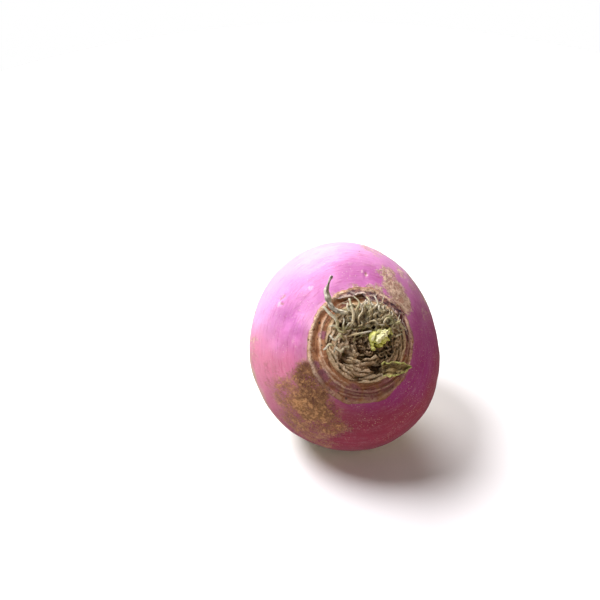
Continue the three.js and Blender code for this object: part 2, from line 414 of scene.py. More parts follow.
skinRough = {
    "everywhere": [(0.32, 13, 31), (0.14, 5, 33)],
    "ringDepth": 0.07,          # faint rings round the side
    "ringSizes": (12, 3.2),     # mm along them, degrees across them
    "ringsFrom": (35, 45),      # degrees down
    # waves and a rise in mm under each kind of crust
    "crusts": {
        "scurf": ([(0.12, 1.3, 35), (0.08, 0.7, 36)], 0.03),
        "tan": ([(0.16, 1.1, 37), (0.10, 0.6, 38)], 0.1),
        "cork": ([(0.07, 1.2, 39), (0.05, 0.7, 41)], 0.0),
    },
    "patchEdge": (0.45, 1.35),      # as shares of a patch's size
    "corkEdge": (-0.5, 0.6),    # mm
    "moundEdge": (-1.2, 0.4),
    "nickDepth": 0.45,
    "nickWidth": 0.55,
    "corkPast": 0.75,           # mm that the cork reaches past the rim
    "corkWander": [(0.8, 5, 43), (0.3, 1.5, 45)],
    # where purple gives way to cream, in degrees down, with its rises: how high, where and how wide
    "creamFrom": 91,
    "creamRises": [(19, 42, 34), (5, 195, 30)],
    "creamWander": [(7, 16, 21), (3, 5, 23)],
    "creamSoftness": 9,
}


def rootProfile():
    # half of the root's section, from the tail's cut end up to the middle of the crown
    shape = rootShape
    wide, topHeight, lowHeight = shape["radius"], shape["crownHeight"], shape["baseHeight"]
    flareShare = shape["flareRadius"] / wide
    start = Vector((shape["flareRadius"], -lowHeight * math.sqrt(1 - flareShare ** 2)))
    neck = Vector((shape["neckRadius"], shape["neckHeight"]))
    tip = Vector((shape["tipRadius"], -shape["tailLength"]))
    cutEnd = [
        Vector((share * tip.x, tip.y - shape["cutDepth"] + shape["cutSlope"] * share))
        for share in shape["cutRings"]
    ]
    tipHandle, neckDown = tip + Vector(shape["tipHandle"]), neck + Vector(shape["neckDown"])
    neckUp, flareHandle = neck + Vector(shape["neckUp"]), start + Vector(shape["flareHandle"])
    taper = interpolate_bezier(tip, tipHandle, neckDown, neck, shape["tailRows"])
    flare = interpolate_bezier(neck, neckUp, flareHandle, start, shape["flareRows"])
    flareAngle = math.asin(flareShare)
    belly = []
    for i in range(1, shape["bellyRows"] + 1):
        angle = flareAngle + i / shape["bellyRows"] * (math.pi / 2 - flareAngle)
        belly.append(Vector((wide * math.sin(angle), -lowHeight * math.cos(angle))))
    crownRadius = crownShape["rimRadius"] + shape["crownReach"]
    shoulderAngle = math.asin(crownRadius / wide)
    shoulder = []
    for i in range(1, shape["shoulderRows"] + 1):
        angle = math.pi / 2 - i / shape["shoulderRows"] * (math.pi / 2 - shoulderAngle)
        shoulder.append(Vector((wide * math.sin(angle), topHeight * math.cos(angle))))
    crown = []
    radius = crownRadius - shape["crownRowGap"]
    while radius > shape["crownRowGap"] / 2:
        crown.append(Vector((radius, topHeight * math.sqrt(1 - (radius / wide) ** 2))))
        radius -= shape["crownRowGap"]
    crown.append(Vector((0, topHeight)))
    return [*cutEnd, *taper, *flare[1:], *belly, *shoulder, *crown]


def swelling(angle):
    shape = rootShape
    oval = shape["ovalness"] * math.cos(2 * (angle - math.radians(shape["ovalTurn"])))
    lobes = shape["lobes"] * math.cos(3 * (angle - math.radians(shape["lobeTurn"])))
    return 1 + oval + lobes


def ringDistance(u, v):
    # how far from the middle of the crown, stretched so that the rim runs at one distance
    middle, stretch = crownShape["rimPlace"], crownShape["rimStretch"]
    return math.hypot((u - middle[0]) / stretch[0], (v - middle[1]) / stretch[1])


def crownLevel(u, v, dome):
    # the height of the crown at a place, and how much of a ridge is there
    crown = crownShape
    place = (u, v, 0)
    fromMiddle = ringDistance(u, v)
    rimRadius = crown["rimRadius"] + uneven(place, crown["rimWander"])
    broken = max(0.1, crown["rimStrength"] + uneven(place, crown["rimBreaks"]))
    ridge = hump(fromMiddle - rimRadius, crown["rimWidth"]) * broken
    level = dome + crown["rimHeight"] * ridge
    level -= crown["bandDepth"] * hump(fromMiddle - crown["bandRadius"], crown["bandWidth"])
    mu, mv = u - crown["moundPlace"][0], v - crown["moundPlace"][1]
    fromMound = math.hypot(mu, mv)
    moundAngle = math.degrees(math.atan2(mv, mu))
    wander, wanderSize = crown["scarWander"]
    breaks, breakSize = crown["scarBreaks"]
    for radius, height, width, first, last in crown["scars"]:
        reach = (last - first) / 2
        gap = abs(angleGap(moundAngle, (first + last) / 2))
        inside = 1 - between(reach - crown["scarFade"], reach, gap)
        wandered = radius + wander * wobble(place, wanderSize, radius)
        strength = crown["scarStrength"] + breaks * wobble(place, breakSize, radius)
        fold = inside * hump(fromMound - wandered, width) * strength
        level += height * fold
        ridge = max(ridge, fold)
    # creases that follow the ring
    along, across = crown["creaseSizes"]
    creases = crown["creaseDepth"] * noise.noise((u * along, v * along, fromMiddle * across))
    level += creases * (1 - between(crown["rimRadius"], crown["rimRadius"] + 1.5, fromMiddle))
    edge = crown["moundRadius"] + uneven(place, crown["moundWander"])
    onMound = 1 - between(-crown["moundEdge"], 0, fromMound - edge)
    moundTop = crown["moundHeight"] + uneven(place, crown["moundRough"])
    return level + (moundTop - level) * onMound, ridge * (1 - onMound)


def shapeRootPoint(point):
    # moves the point from the plain profile to its place; returns how much of a crown ridge it is on
    radius = math.hypot(point.x, point.y)
    angle = math.atan2(point.y, point.x)
    rim = crownShape["rimRadius"]
    scale = 1 + (swelling(angle) - 1) * between(rim, rootShape["radius"] * 0.8, radius)
    point.x *= scale
    point.y *= scale
    ridge = 0.0
    fadeStart, fadeEnd = (rim + reach for reach in crownShape["rimFade"])
    if point.z > 0 and radius < fadeEnd:
        fade = 1 - between(fadeStart, fadeEnd, radius)
        level, ridge = crownLevel(point.x, point.y, point.z)
        point.z += (level - point.z) * fade
        ridge *= fade
    tailShare = (-rootShape["baseHeight"] - point.z) / (rootShape["tailLength"] - rootShape["baseHeight"])
    point.x += rootShape["tailBend"] * max(0.0, tailShare) ** 2
    return ridge


def spotOn(around, down):
    # the place on the plain root that lies in a direction from its middle
    a, d = math.radians(around), math.radians(down)
    side = Vector((math.cos(a) * math.sin(d), math.sin(a) * math.sin(d), math.cos(d)))
    height = rootShape["crownHeight"] if side.z > 0 else rootShape["baseHeight"]
    wide = rootShape["radius"] * (1 + (swelling(a) - 1) * between(0.5, 0.8, math.sin(d)))
    return side / math.sqrt((math.hypot(side.x, side.y) / wide) ** 2 + (side.z / height) ** 2)


def placeMarks():
    # the marks with their places on the root in mm; a nick also gets the way it runs
    placed = {}
    for name, marks in skinMarks.items():
        placed[name] = [(spotOn(around, down), *rest) for around, down, *rest in marks]
    for i, (spot, turn, length) in enumerate(placed["nicks"]):
        outward = spot.normalized()
        sideways = Vector((0, 0, 1)).cross(outward).normalized()
        downward = sideways.cross(outward)
        angle = math.radians(turn)
        run = sideways * math.cos(angle) + downward * math.sin(angle)
        placed["nicks"][i] = (spot, run, length)
    return placed


def patchMask(point, patches):
    total = 0.0
    for spot, size, strength in patches:
        distance = (point - spot).length / size
        total = max(total, strength * (1 - between(*skinRough["patchEdge"], distance)))
    return total


def nickMask(point, nicks):
    deepest = 0.0
    for spot, run, length in nicks:
        offset = point - spot
        along = max(-length / 2, min(length / 2, offset.dot(run)))
        deepest = max(deepest, hump((offset - run * along).length, skinRough["nickWidth"]))
    return deepest


def creamBorder(around, point):
    # degrees down from the crown where the purple gives way to cream
    border = skinRough["creamFrom"] + uneven(point, skinRough["creamWander"])
    for rise, middle, width in skinRough["creamRises"]:
        border -= rise * hump(angleGap(around, middle), width)
    return border


def skinRelief(point, masks, placed):
    # how far the skin stands out or in, in mm
    height = uneven(point, skinRough["everywhere"])
    along, across = skinRough["ringSizes"]
    ringwise = Vector((point.x / along, point.y / along, masks["down"] / across))
    height += skinRough["ringDepth"] * noise.noise(ringwise) * between(*skinRough["ringsFrom"], masks["down"])
    for spot, size, depth in placed["dents"]:
        height -= depth * hump((point - spot).length, size)
    for name, (waves, rise) in skinRough["crusts"].items():
        height += masks[name] * (uneven(point, waves) + rise)
    return height - masks["nick"] * skinRough["nickDepth"]


def skinMasks(point, ridge, placed):
    radius = math.hypot(point.x, point.y)
    around = math.degrees(math.atan2(point.y, point.x))
    down = math.degrees(math.atan2(radius, point.z))
    ring = ringDistance(point.x, point.y)
    moundX, moundY = crownShape["moundPlace"]
    fromMound = math.hypot(point.x - moundX, point.y - moundY) - crownShape["moundRadius"]
    corkRadius = crownShape["rimRadius"] + skinRough["corkPast"] + uneven(point, skinRough["corkWander"])
    border = creamBorder(around, point)
    soft = skinRough["creamSoftness"]
    masks = {name: patchMask(point, placed[name]) for name in ("scurf", "tan", "purple", "scuff")}
    masks.update({
        "down": down,
        "ring": ring,
        "ridge": ridge,
        "cork": 1 - between(*skinRough["corkEdge"], ring - corkRadius),
        "mound": 1 - between(*skinRough["moundEdge"], fromMound),
        "nick": nickMask(point, placed["nicks"]),
        "cream": between(border - soft, border + soft, down),
    })
    if point.z <= 0:
        masks.update({"purple": 0.0, "cork": 0.0, "mound": 0.0})
    return masks


def makeRoot(material):
    bm = bmesh.new()
    verts = [bm.verts.new((p.x, 0, p.y)) for p in rootProfile()]
    edges = [bm.edges.new(pair) for pair in zip(verts, verts[1:])]
    bmesh.ops.spin(
        bm,
        geom=verts + edges,
        cent=(0, 0, 0),
        axis=(0, 0, 1),
        angle=2 * math.pi,
        steps=rootShape["roundSteps"] // 1,
        use_merge=True,
    )
    bmesh.ops.remove_doubles(bm, verts=bm.verts, dist=0.001)
    names = ("down", "ring", "ridge", "cork", "mound", "scurf", "tan", "purple", "scuff", "nick", "cream")
    layers = {name: bm.verts.layers.float.new(name) for name in names}
    for vert in bm.verts:
        vert[layers["ridge"]] = shapeRootPoint(vert.co)
    bmesh.ops.recalc_face_normals(bm, faces=bm.faces)
    bm.normal_update()
    placed = placeMarks()
    moves = []
    for vert in bm.verts:
        masks = skinMasks(vert.co, vert[layers["ridge"]], placed)
        for name, layer in layers.items():
            vert[layer] = masks[name]
        moves.append(vert.normal * skinRelief(vert.co, masks, placed))
    for vert, move in zip(bm.verts, moves):
        vert.co += move
    bmesh.ops.transform(bm, matrix=lieDown, verts=bm.verts)
    # the belly is flat where it rests
    for vert in bm.verts:
        if vert.co.y < rootHigh.y - rootShape["flatFrom"] * mm:
            vert.co.z = max(vert.co.z, rootLow.z)
    return newPiece(bm, "turnip_root", material)


def newGroup(name, inputs, outputs=("Mask",)):
    # an empty node group with its sockets; gives the group and what comes in
    group = bpy.data.node_groups.new(name, "ShaderNodeTree")
    for key in inputs:
        kind = "NodeSocketVector" if key == "Vector" else "NodeSocketFloat"
        group.interface.new_socket(key, in_out="INPUT", socket_type=kind)
    for key in outputs:
        group.interface.new_socket(key, in_out="OUTPUT", socket_type="NodeSocketFloat")
    source = group.nodes.new("NodeGroupInput").outputs
    return group, [source[key] for key in inputs]


def closeGroup(group, **results):
    sink = group.nodes.new("NodeGroupOutput")
    for key, value in results.items():
        feed(sink.inputs[key], value)
    return group


def speckleGroup():
    # small scattered spots: Coverage from 0 to 1 says how many
    group, (vector, scale, coverage) = newGroup("speckles", ("Vector", "Scale", "Coverage"))
    cells = addNode(group, "ShaderNodeTexVoronoi", {"Vector": vector, "Scale": scale})
    size = times(coverage, spread(noiseFac(vector, 0.12, 2), 0.35, 0.65, 0.4, 1.0))
    return closeGroup(group, Mask=spread(cells.outputs["Distance"], times(size, 0.5), size, 1.0, 0.0))


def crackGroup():
    # an irregular net of cracks: Mask is 1 on the plates and 0 in the cracks
    group, (vector, scale, width) = newGroup("cracks", ("Vector", "Scale", "Width"))
    shake = addNode(group, "ShaderNodeTexNoise", {"Vector": vector, "Scale": scale, "Detail": 2.0})
    shaken = {0: shake.outputs["Color"], 1: (0.9, 0.9, 0.9), 2: vector}
    moved = addNode(group, "ShaderNodeVectorMath", shaken, operation="MULTIPLY_ADD").outputs[0]
    cells = addNode(
        group,
        "ShaderNodeTexVoronoi",
        {"Vector": moved, "Scale": scale},
        feature="DISTANCE_TO_EDGE",
    )
    return closeGroup(group, Mask=spread(cells.outputs["Distance"], 0.0, width))


def scurfGroup():
    # grainy corky patches: Cover is where they are with a crumbling edge, Tone their dark and light grain
    inputs, outputs = ("Vector", "Amount", "Grain"), ("Cover", "Tone")
    group, (vector, amount, grain) = newGroup("scurf", inputs, outputs)
    crumbs = noiseFac(vector, grain, 4, 0.75)
    ragged = scaled(crumbs, 1.7, scaled(noiseFac(vector, 0.22, 3, 0.6), 1.5, -1.6))
    cover = times(spread(plus(amount, ragged), 0.25, 0.85), spread(amount, 0.0, 0.15))
    grit = noiseFac(vector, times(grain, 2.3), 3, 0.8)
    lumps = noiseFac(vector, times(grain, 0.45), 3, 0.6)
    mixed = scaled(lumps, 0.45, scaled(grit, 0.4, times(crumbs, 0.35)))
    return closeGroup(group, Cover=cover, Tone=spread(mixed, 0.52, 0.68))


def grainGroup():
    # fine grain along one direction: the vector comes in already stretched
    group, (vector, scale) = newGroup("fibreGrain", ("Vector", "Scale"))
    coarse = noiseFac(vector, scale, 2, 0.5)
    fine = noiseFac(vector, times(scale, 3.1), 2, 0.6)
    return closeGroup(group, Mask=spread(scaled(fine, 0.45, times(coarse, 0.55)), 0.36, 0.64))


effects = {"speckles": speckleGroup(), "cracks": crackGroup(), "grain": grainGroup(), "scurf": scurfGroup()}


def useEffect(name, vector, output="Mask", **values):
    inputs = {"Vector": vector, **{key.capitalize(): value for key, value in values.items()}}
    return addNode(vector.id_data, "ShaderNodeGroup", inputs, node_tree=effects[name]).outputs[output]


def bodyCoordinates(tree):
    # object coordinates in mm, turned back so that Z runs along the root's own axis
    place = tree.nodes.new("ShaderNodeTexCoord").outputs["Object"]
    moved = {0: place, 1: tuple(bellyMiddle)}
    centred = addNode(tree, "ShaderNodeVectorMath", moved, operation="SUBTRACT").outputs[0]
    turned = {
        "Vector": centred,
        "Rotation": (-math.radians(lie["tipForward"]), -math.radians(lie["leanRight"]), 0),
        "Scale": (1 / mm, 1 / mm, 1 / mm),
    }
    return addNode(tree, "ShaderNodeMapping", turned).outputs["Vector"]


def ringwiseCoordinates(body, outward, slow, quick):
    # slow round the axis, quick from one ring to the next
    x, y, _ = axesOf(body)
    joined = {"X": times(x, slow), "Y": times(y, slow), "Z": times(outward, quick)}
    return addNode(body.id_data, "ShaderNodeCombineXYZ", joined).outputs[0]


skinLook = {
    "orchid": (0.64, 0.225, 0.51),
    "violet": (0.47, 0.12, 0.36),
    "wine": (0.28, 0.020, 0.052),
    # plum: the colour of the painted shade at the upper right
    "shadedPlum": (0.31, 0.020, 0.16),
    "paleOrchid": (0.80, 0.48, 0.72),
    "peach": (0.64, 0.19, 0.28),
    "dusty": (0.62, 0.35, 0.38),
    "lenticel": (0.86, 0.68, 0.62),
    "dust": (0.74, 0.48, 0.32),
    "cream": (0.52, 0.43, 0.29),
    "creamTan": (0.35, 0.22, 0.10),
    "scurfLight": (0.56, 0.28, 0.11),
    "scurfThin": (0.76, 0.43, 0.24),
    "scurfDark": (0.10, 0.034, 0.010),
    "tan": (0.84, 0.66, 0.43),
    "tanDark": (0.44, 0.26, 0.14),
    "corkPale": (0.84, 0.62, 0.43),
    "cork": (0.43, 0.19, 0.085),
    "corkDark": (0.13, 0.045, 0.018),
    "rust": (0.20, 0.065, 0.022),
    # painted shade at the bottom of the band
    "bandShade": (0.20, 0.075, 0.026),
    "speck": (0.05, 0.03, 0.02),
    "bandPurple": (0.26, 0.075, 0.15),
    "moundShadeBrown": (0.07, 0.036, 0.016),
    "moundTan": (0.22, 0.13, 0.065),
    "moundGreen": (0.20, 0.17, 0.04),
    "nickBrown": (0.34, 0.19, 0.10),
    # each kind of spot: how closely the spots can lie and how many of them there are
    "lenticels": {"scale": 0.85, "coverage": 0.20},
    "dustSpots": {"scale": 1.2, "coverage": 0.27},
    "pits": {"scale": 0.32, "coverage": 0.16},
    "specks": {"scale": 0.13, "coverage": 0.05},
    "bandSpots": {"scale": 0.24, "coverage": 0.20},
    "bandSpecks": {"scale": 0.45, "coverage": 0.20},
    "scurfGrain": 1.5,
    "tanGrain": 1.1,
    "gloss": 0.3,
    "bump": 0.45,           # mm
    "glow": 0.06,           # how much light sinks into the flesh
    "glowDepth": 1.5,       # mm
    "glowColor": (1.0, 0.35, 0.3),
}


def readSkin(tree):
    # what more than one layer of the skin needs
    body = bodyCoordinates(tree)
    down = readAttribute(tree, "down")
    rings = ringwiseCoordinates(body, down, 0.22, 1.3)
    x, y, _ = axesOf(body)
    mottle = noiseFac(body, 0.075, 4, 0.6)
    return SimpleNamespace(
        tree=tree,
        body=body,
        down=down,
        x=x,
        y=y,
        rings=rings,
        mottle=mottle,
        fineTone=noiseFac(body, 0.9, 5, 0.75),
        grainNoise=noiseFac(body, 1.1, 4, 0.7),
        streaks=useEffect("grain", rings, scale=1.0),
        # painted shade: darker and redder towards the lower right, the side turned from the light
        paintedShadeToWine=spread(scaled(mottle, 18.0, scaled(y, -0.75, times(x, 0.65))), -8.0, 32.0),
    )


def purpleLayer(skin):
    look, mottle, down = skinLook, skin.mottle, skin.down
    purple = blendColor(spread(mottle, 0.30, 0.62), look["orchid"], look["violet"])
    # paler on the left, down towards the cream, and warmer towards the lower left
    fading = spread(scaled(mottle, 14.0, down), 52.0, 92.0, 0.0, 0.62)
    purple = blendColor(fading, purple, look["paleOrchid"])
    peachy = scaled(skin.y, -1.0, scaled(mottle, 16.0, times(skin.x, -0.4)))
    purple = blendColor(spread(peachy, 8.0, 30.0, 0.0, 0.9), purple, look["peach"])
    # painted shade: wine below, plum at the upper right
    rightness = scaled(skin.x, 0.5, times(skin.y, 0.5))
    toPlum = plus(rightness, scaled(mottle, 20.0, times(down, -1.0)))
    shadedWineOrPlum = blendColor(spread(toPlum, -50.0, -28.0), look["wine"], look["shadedPlum"])
    purple = blendColor(skin.paintedShadeToWine, purple, shadedWineOrPlum)
    # dull and peachy next to the crown
    nearCrown = spread(scaled(mottle, 9.0, down), 36.0, 46.0, 0.45, 0.0)
    return blendColor(times(nearCrown, lessThan(1.0, skin.paintedShadeToWine)), purple, look["dusty"])


def streakLayer(skin, purple):
    # faint broken rings, paler and darker than the skin round them
    look, body, rings, fineTone = skinLook, skin.body, skin.rings, skin.fineTone
    paler = blendColor(0.4, purple, look["dusty"])
    deeper = blendColor(0.55, purple, look["wine"])
    dots = spread(fineTone, 0.42, 0.62, 0.25, 1.0)
    broadStreaks = spread(noiseFac(rings, 0.35, 3), 0.40, 0.64, 0.1, 0.75)
    skin.streakShare = times(times(skin.streaks, dots), broadStreaks)
    color = blendColor(skin.streakShare, purple, paler)
    darkStreaks = spread(noiseFac(rings, 0.8, 4, 0.65), 0.50, 0.68, 0.0, 0.55)
    color = blendColor(darkStreaks, color, deeper)
    color = blendColor(spread(fineTone, 0.54, 0.74, 0.0, 0.35), color, paler)
    skin.lenticels = useEffect("speckles", body, **look["lenticels"])
    color = blendColor(times(skin.lenticels, 0.42), color, look["lenticel"])
    # finer dots, most of them on the red side
    dust = times(useEffect("speckles", body, **look["dustSpots"]), scaled(skin.paintedShadeToWine, 0.45, 0.08))
    color = blendColor(dust, color, look["dust"])
    scuffed = scaled(fineTone, 1.2, plus(readAttribute(skin.tree, "scuff"), -0.6))
    return blendColor(times(spread(scuffed, 0.35, 0.75), 0.6), color, look["lenticel"])


def creamLayer(skin, color):
    look = skinLook
    tanShare = spread(noiseFac(skin.body, 0.09, 4, 0.6), 0.46, 0.72, 0.0, 0.75)
    cream = blendColor(tanShare, look["cream"], look["creamTan"])
    cream = blendColor(spread(skin.streaks, 0.5, 1.0, 0.0, 0.25), cream, look["creamTan"])
    frayed = scaled(noiseFac(skin.rings, 0.5, 4, 0.6), 0.7, -0.35)
    return blendColor(spread(plus(readAttribute(skin.tree, "cream"), frayed), 0.1, 0.9), color, cream)


def scurfLayer(skin, color):
    # orange-brown scurf, darkest right beside the ring
    look, amount = skinLook, readAttribute(skin.tree, "scurf")
    skin.scurfShare = useEffect("scurf", skin.body, "Cover", amount=amount, grain=look["scurfGrain"])
    tone = useEffect("scurf", skin.body, "Tone", amount=amount, grain=look["scurfGrain"])
    besideRing = spread(scaled(skin.mottle, 12.0, skin.down), 42.0, 60.0, -0.3, 0.3)
    skin.scurfTone = plus(tone, besideRing, clamp=True)
    scurf = blendColor(skin.scurfTone, look["scurfDark"], look["scurfLight"])
    broad = spread(noiseFac(skin.body, 0.28, 3, 0.6), 0.38, 0.62)
    scurf = blendColor(times(broad, 0.25), scurf, look["scurfLight"])
    scurf = blendColor(spread(amount, 0.75, 0.25), scurf, look["scurfThin"])
    cover = times(skin.scurfShare, spread(amount, 0.1, 0.9, 0.5, 0.97))
    skin.pits = times(useEffect("speckles", skin.body, **look["pits"]), cover)
    return blendColor(cover, color, scurf)


def tanLayer(skin, color):
    # crumbly tan cork
    look, amount = skinLook, readAttribute(skin.tree, "tan")
    skin.tanShare = useEffect("scurf", skin.body, "Cover", amount=amount, grain=look["tanGrain"])
    skin.tanTone = useEffect("scurf", skin.body, "Tone", amount=amount, grain=look["tanGrain"])
    tan = blendColor(skin.tanTone, look["tanDark"], look["tan"])
    return blendColor(times(skin.tanShare, 0.85), color, tan)


def bandLayer(skin, color):
    # the crown's band: cork in creases that follow the ring, pale on the ridges, purple in places
    look, tree, body, grainNoise = skinLook, skin.tree, skin.body, skin.grainNoise
    ridge = readAttribute(tree, "ridge")
    creases = ringwiseCoordinates(body, readAttribute(tree, "ring"), 0.22, 1.5)
    creaseNoise = noiseFac(creases, 0.9, 5, 0.65, 0.6)
    skin.corkNoise = scaled(grainNoise, 0.35, times(creaseNoise, 0.65))
    cork = blendColor(spread(skin.corkNoise, 0.38, 0.51), look["corkDark"], look["cork"])
    purpleEdge = scaled(creaseNoise, 1.4, plus(readAttribute(tree, "purple"), -0.7))
    cork = blendColor(times(spread(purpleEdge, 0.25, 0.75), 0.85), cork, look["bandPurple"])
    # the ridges are paler, partly as painted highlight, and less so towards the lower right as painted shade
    paleRidge = times(ridge, scaled(skin.paintedShadeToWine, -0.45, 1.05))
    pale = plus(spread(skin.corkNoise, 0.54, 0.66, 0.0, 0.6), paleRidge)
    pale = times(pale, spread(grainNoise, 0.32, 0.55), clamp=True)
    cork = blendColor(pale, cork, look["corkPale"])
    # rusty in blotches, and browner below as painted shade
    rusty = spread(noiseFac(body, 0.2, 4, 0.65), 0.46, 0.60, 0.0, 0.7)
    cork = blendColor(times(rusty, lessThan(1.0, ridge)), cork, look["rust"])
    shadedBelow = spread(scaled(creaseNoise, 10.0, skin.y), 4.0, -12.0, 0.0, 0.55)
    cork = blendColor(shadedBelow, cork, look["bandShade"])
    corkEdge = plus(readAttribute(tree, "cork"), scaled(grainNoise, 0.9, -0.45))
    skin.corkShare = spread(corkEdge, 0.35, 0.65)
    return blendColor(skin.corkShare, color, cork)


def moundLayer(skin, color):
    # the mound under the leaf bases: tan, and near-black brown as painted shade in the gaps between them,
    # green in places
    look = skinLook
    mound = blendColor(spread(skin.grainNoise, 0.40, 0.62), look["moundShadeBrown"], look["moundTan"])
    green = spread(noiseFac(skin.body, 0.2, 2), 0.55, 0.68, 0.0, 0.7)
    mound = blendColor(green, mound, look["moundGreen"])
    return blendColor(readAttribute(skin.tree, "mound"), color, mound)


def speckLayer(skin, color):
    # brown in the nicks, and dark specks, more of them on the crown's band and in the scurf
    look, body = skinLook, skin.body
    nicked = spread(readAttribute(skin.tree, "nick"), 0.2, 1.0, 0.0, 0.75)
    color = blendColor(nicked, color, look["nickBrown"])
    bandSpots = useEffect("speckles", body, **look["bandSpots"])
    bandSpecks = useEffect("speckles", body, **look["bandSpecks"])
    onBand = times(larger(bandSpots, bandSpecks), skin.corkShare)
    dark = larger(useEffect("speckles", body, **look["specks"]), larger(onBand, skin.pits))
    return blendColor(times(dark, 0.85), color, look["speck"])


def skinHeight(skin):
    # how the fine bumps stand out: streaks, spots and each kind of crust
    height = scaled(skin.streakShare, 0.22, times(skin.fineTone, 0.2))
    height = scaled(skin.lenticels, 0.10, height)
    height = scaled(times(skin.scurfTone, skin.scurfShare), 0.7, height)
    height = scaled(times(skin.tanTone, skin.tanShare), 0.6, height)
    height = scaled(times(skin.corkNoise, skin.corkShare), 2.0, height)
    return scaled(skin.pits, -0.7, height)


def skinMaterial():
    material, tree, shader = newMaterial("turnipSkin")
    skin = readSkin(tree)
    color = purpleLayer(skin)
    for addLayer in (streakLayer, creamLayer, scurfLayer, tanLayer, bandLayer, moundLayer, speckLayer):
        color = addLayer(skin, color)
    rough = larger(skin.corkShare, larger(skin.scurfShare, skin.tanShare))
    roughness = scaled(rough, 0.38, scaled(skin.fineTone, 0.2, 0.32))
    finishShader(shader, color, roughness, skinHeight(skin), skinLook["bump"] * mm, skinLook["gloss"])
    feed(shader.inputs["Subsurface Weight"], skinLook["glow"])
    feed(shader.inputs["Subsurface Radius"], skinLook["glowColor"])
    feed(shader.inputs["Subsurface Scale"], skinLook["glowDepth"] * mm)
    return material


root = makeRoot(skinMaterial())
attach(root, "root")
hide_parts("root")
print("root grown")


def onCrown(u, v, height):
    # a place over the mound's middle, in the root's own mm
    middleX, middleY = crownShape["moundPlace"]
    return Vector((middleX + u, middleY + v, crownShape["moundHeight"] + height))


def smoothPath(points, count):
    # a smooth line through the points, in even steps
    knots = [Vector(p) for p in points]
    ends = [knots[0] * 2 - knots[1], *knots, knots[-1] * 2 - knots[-2]]
    path = []
    for i in range(count + 1):
        place = i / count * (len(knots) - 1)
        k = min(int(place), len(knots) - 2)
        t = place - k
        a, b, c, d = ends[k:k + 4]
        square, cube = 2 * a - 5 * b + 4 * c - d, 3 * b - a - 3 * c + d
        path.append(0.5 * (2 * b + (c - a) * t + square * t ** 2 + cube * t ** 3))
    return path


def framesAlong(path, sizes):
    # for each step a matrix that turns and scales a disc to face along the path
    frames = []
    side = Vector((0, 0, 1))
    for i, (point, (wide, thick)) in enumerate(zip(path, sizes)):
        ahead = (path[min(i + 1, len(path) - 1)] - path[max(i - 1, 0)]).normalized()
        side = (side - ahead * side.dot(ahead)).normalized()
        across = ahead.cross(side)
        turned = Matrix((across, side, ahead)).transposed().to_4x4()
        frames.append(Matrix.Translation(point) @ turned @ Matrix.Diagonal((wide, thick, 1, 1)))
    return frames


# the grain's step from one side of a swept tube to the next
sideStep = 0.7


def sweepAlong(bm, path, sizes, sides, layers, tone=0.5):
    # one disc pushed along the path; "up" runs from 0 to 1 along it
    frames = framesAlong(path, sizes)
    ring = bmesh.ops.create_circle(bm, cap_ends=True, radius=1, segments=sides)["verts"]
    bmesh.ops.transform(bm, matrix=frames[0], verts=ring)
    cap = ring[0].link_faces[0]
    for vert in ring:
        vert[layers["tone"]] = tone
    for i in range(1, len(frames)):
        cap = bmesh.ops.extrude_discrete_faces(bm, faces=[cap])["faces"][0]
        bmesh.ops.transform(bm, matrix=frames[i] @ frames[i - 1].inverted(), verts=cap.verts)
        for k, vert in enumerate(cap.verts):
            vert[layers["up"]] = i / (len(frames) - 1)
            vert[layers["across"]] = k * sideStep
            vert[layers["tone"]] = tone


def startPiece():
    bm = bmesh.new()
    return bm, {name: bm.verts.layers.float.new(name) for name in ("up", "across", "tone")}


def closePiece(bm):
    # the open ends are filled, and the outside is turned out
    bmesh.ops.holes_fill(bm, edges=bm.edges, sides=0)
    bmesh.ops.recalc_face_normals(bm, faces=bm.faces)


def finishOnCrown(bm, name, nodes, material, thickness=None):
    # from the mound's own mm to the frame; a sheet gets its thickness; the piece stands for its nodes
    bmesh.ops.translate(bm, vec=onCrown(0, 0, 0), verts=bm.verts)
    bmesh.ops.transform(bm, matrix=lieDown, verts=bm.verts)
    if thickness:
        bmesh.ops.recalc_face_normals(bm, faces=bm.faces)
    piece = newPiece(bm, name, material)
    if thickness:
        walls = piece.modifiers.new("walls", "SOLIDIFY")
        walls.thickness = thickness * mm
        walls.offset = 0
    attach(piece, "root")
    if nodes:
        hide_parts(*nodes)


scaleShape = {
    "rows": 9,
    "fewestColumns": 10,
    "endsFrom": 0.55,       # where the height starts to fall away towards an end
    "ragged": (0.30, 0.22),     # broad and fine unevenness of the top edge
    "raggedSizes": (1.9, 0.6),
    "foldSizes": (2.6, 0.9),
    "foldReach": 1.6,
    "droopSize": 1.2,
}


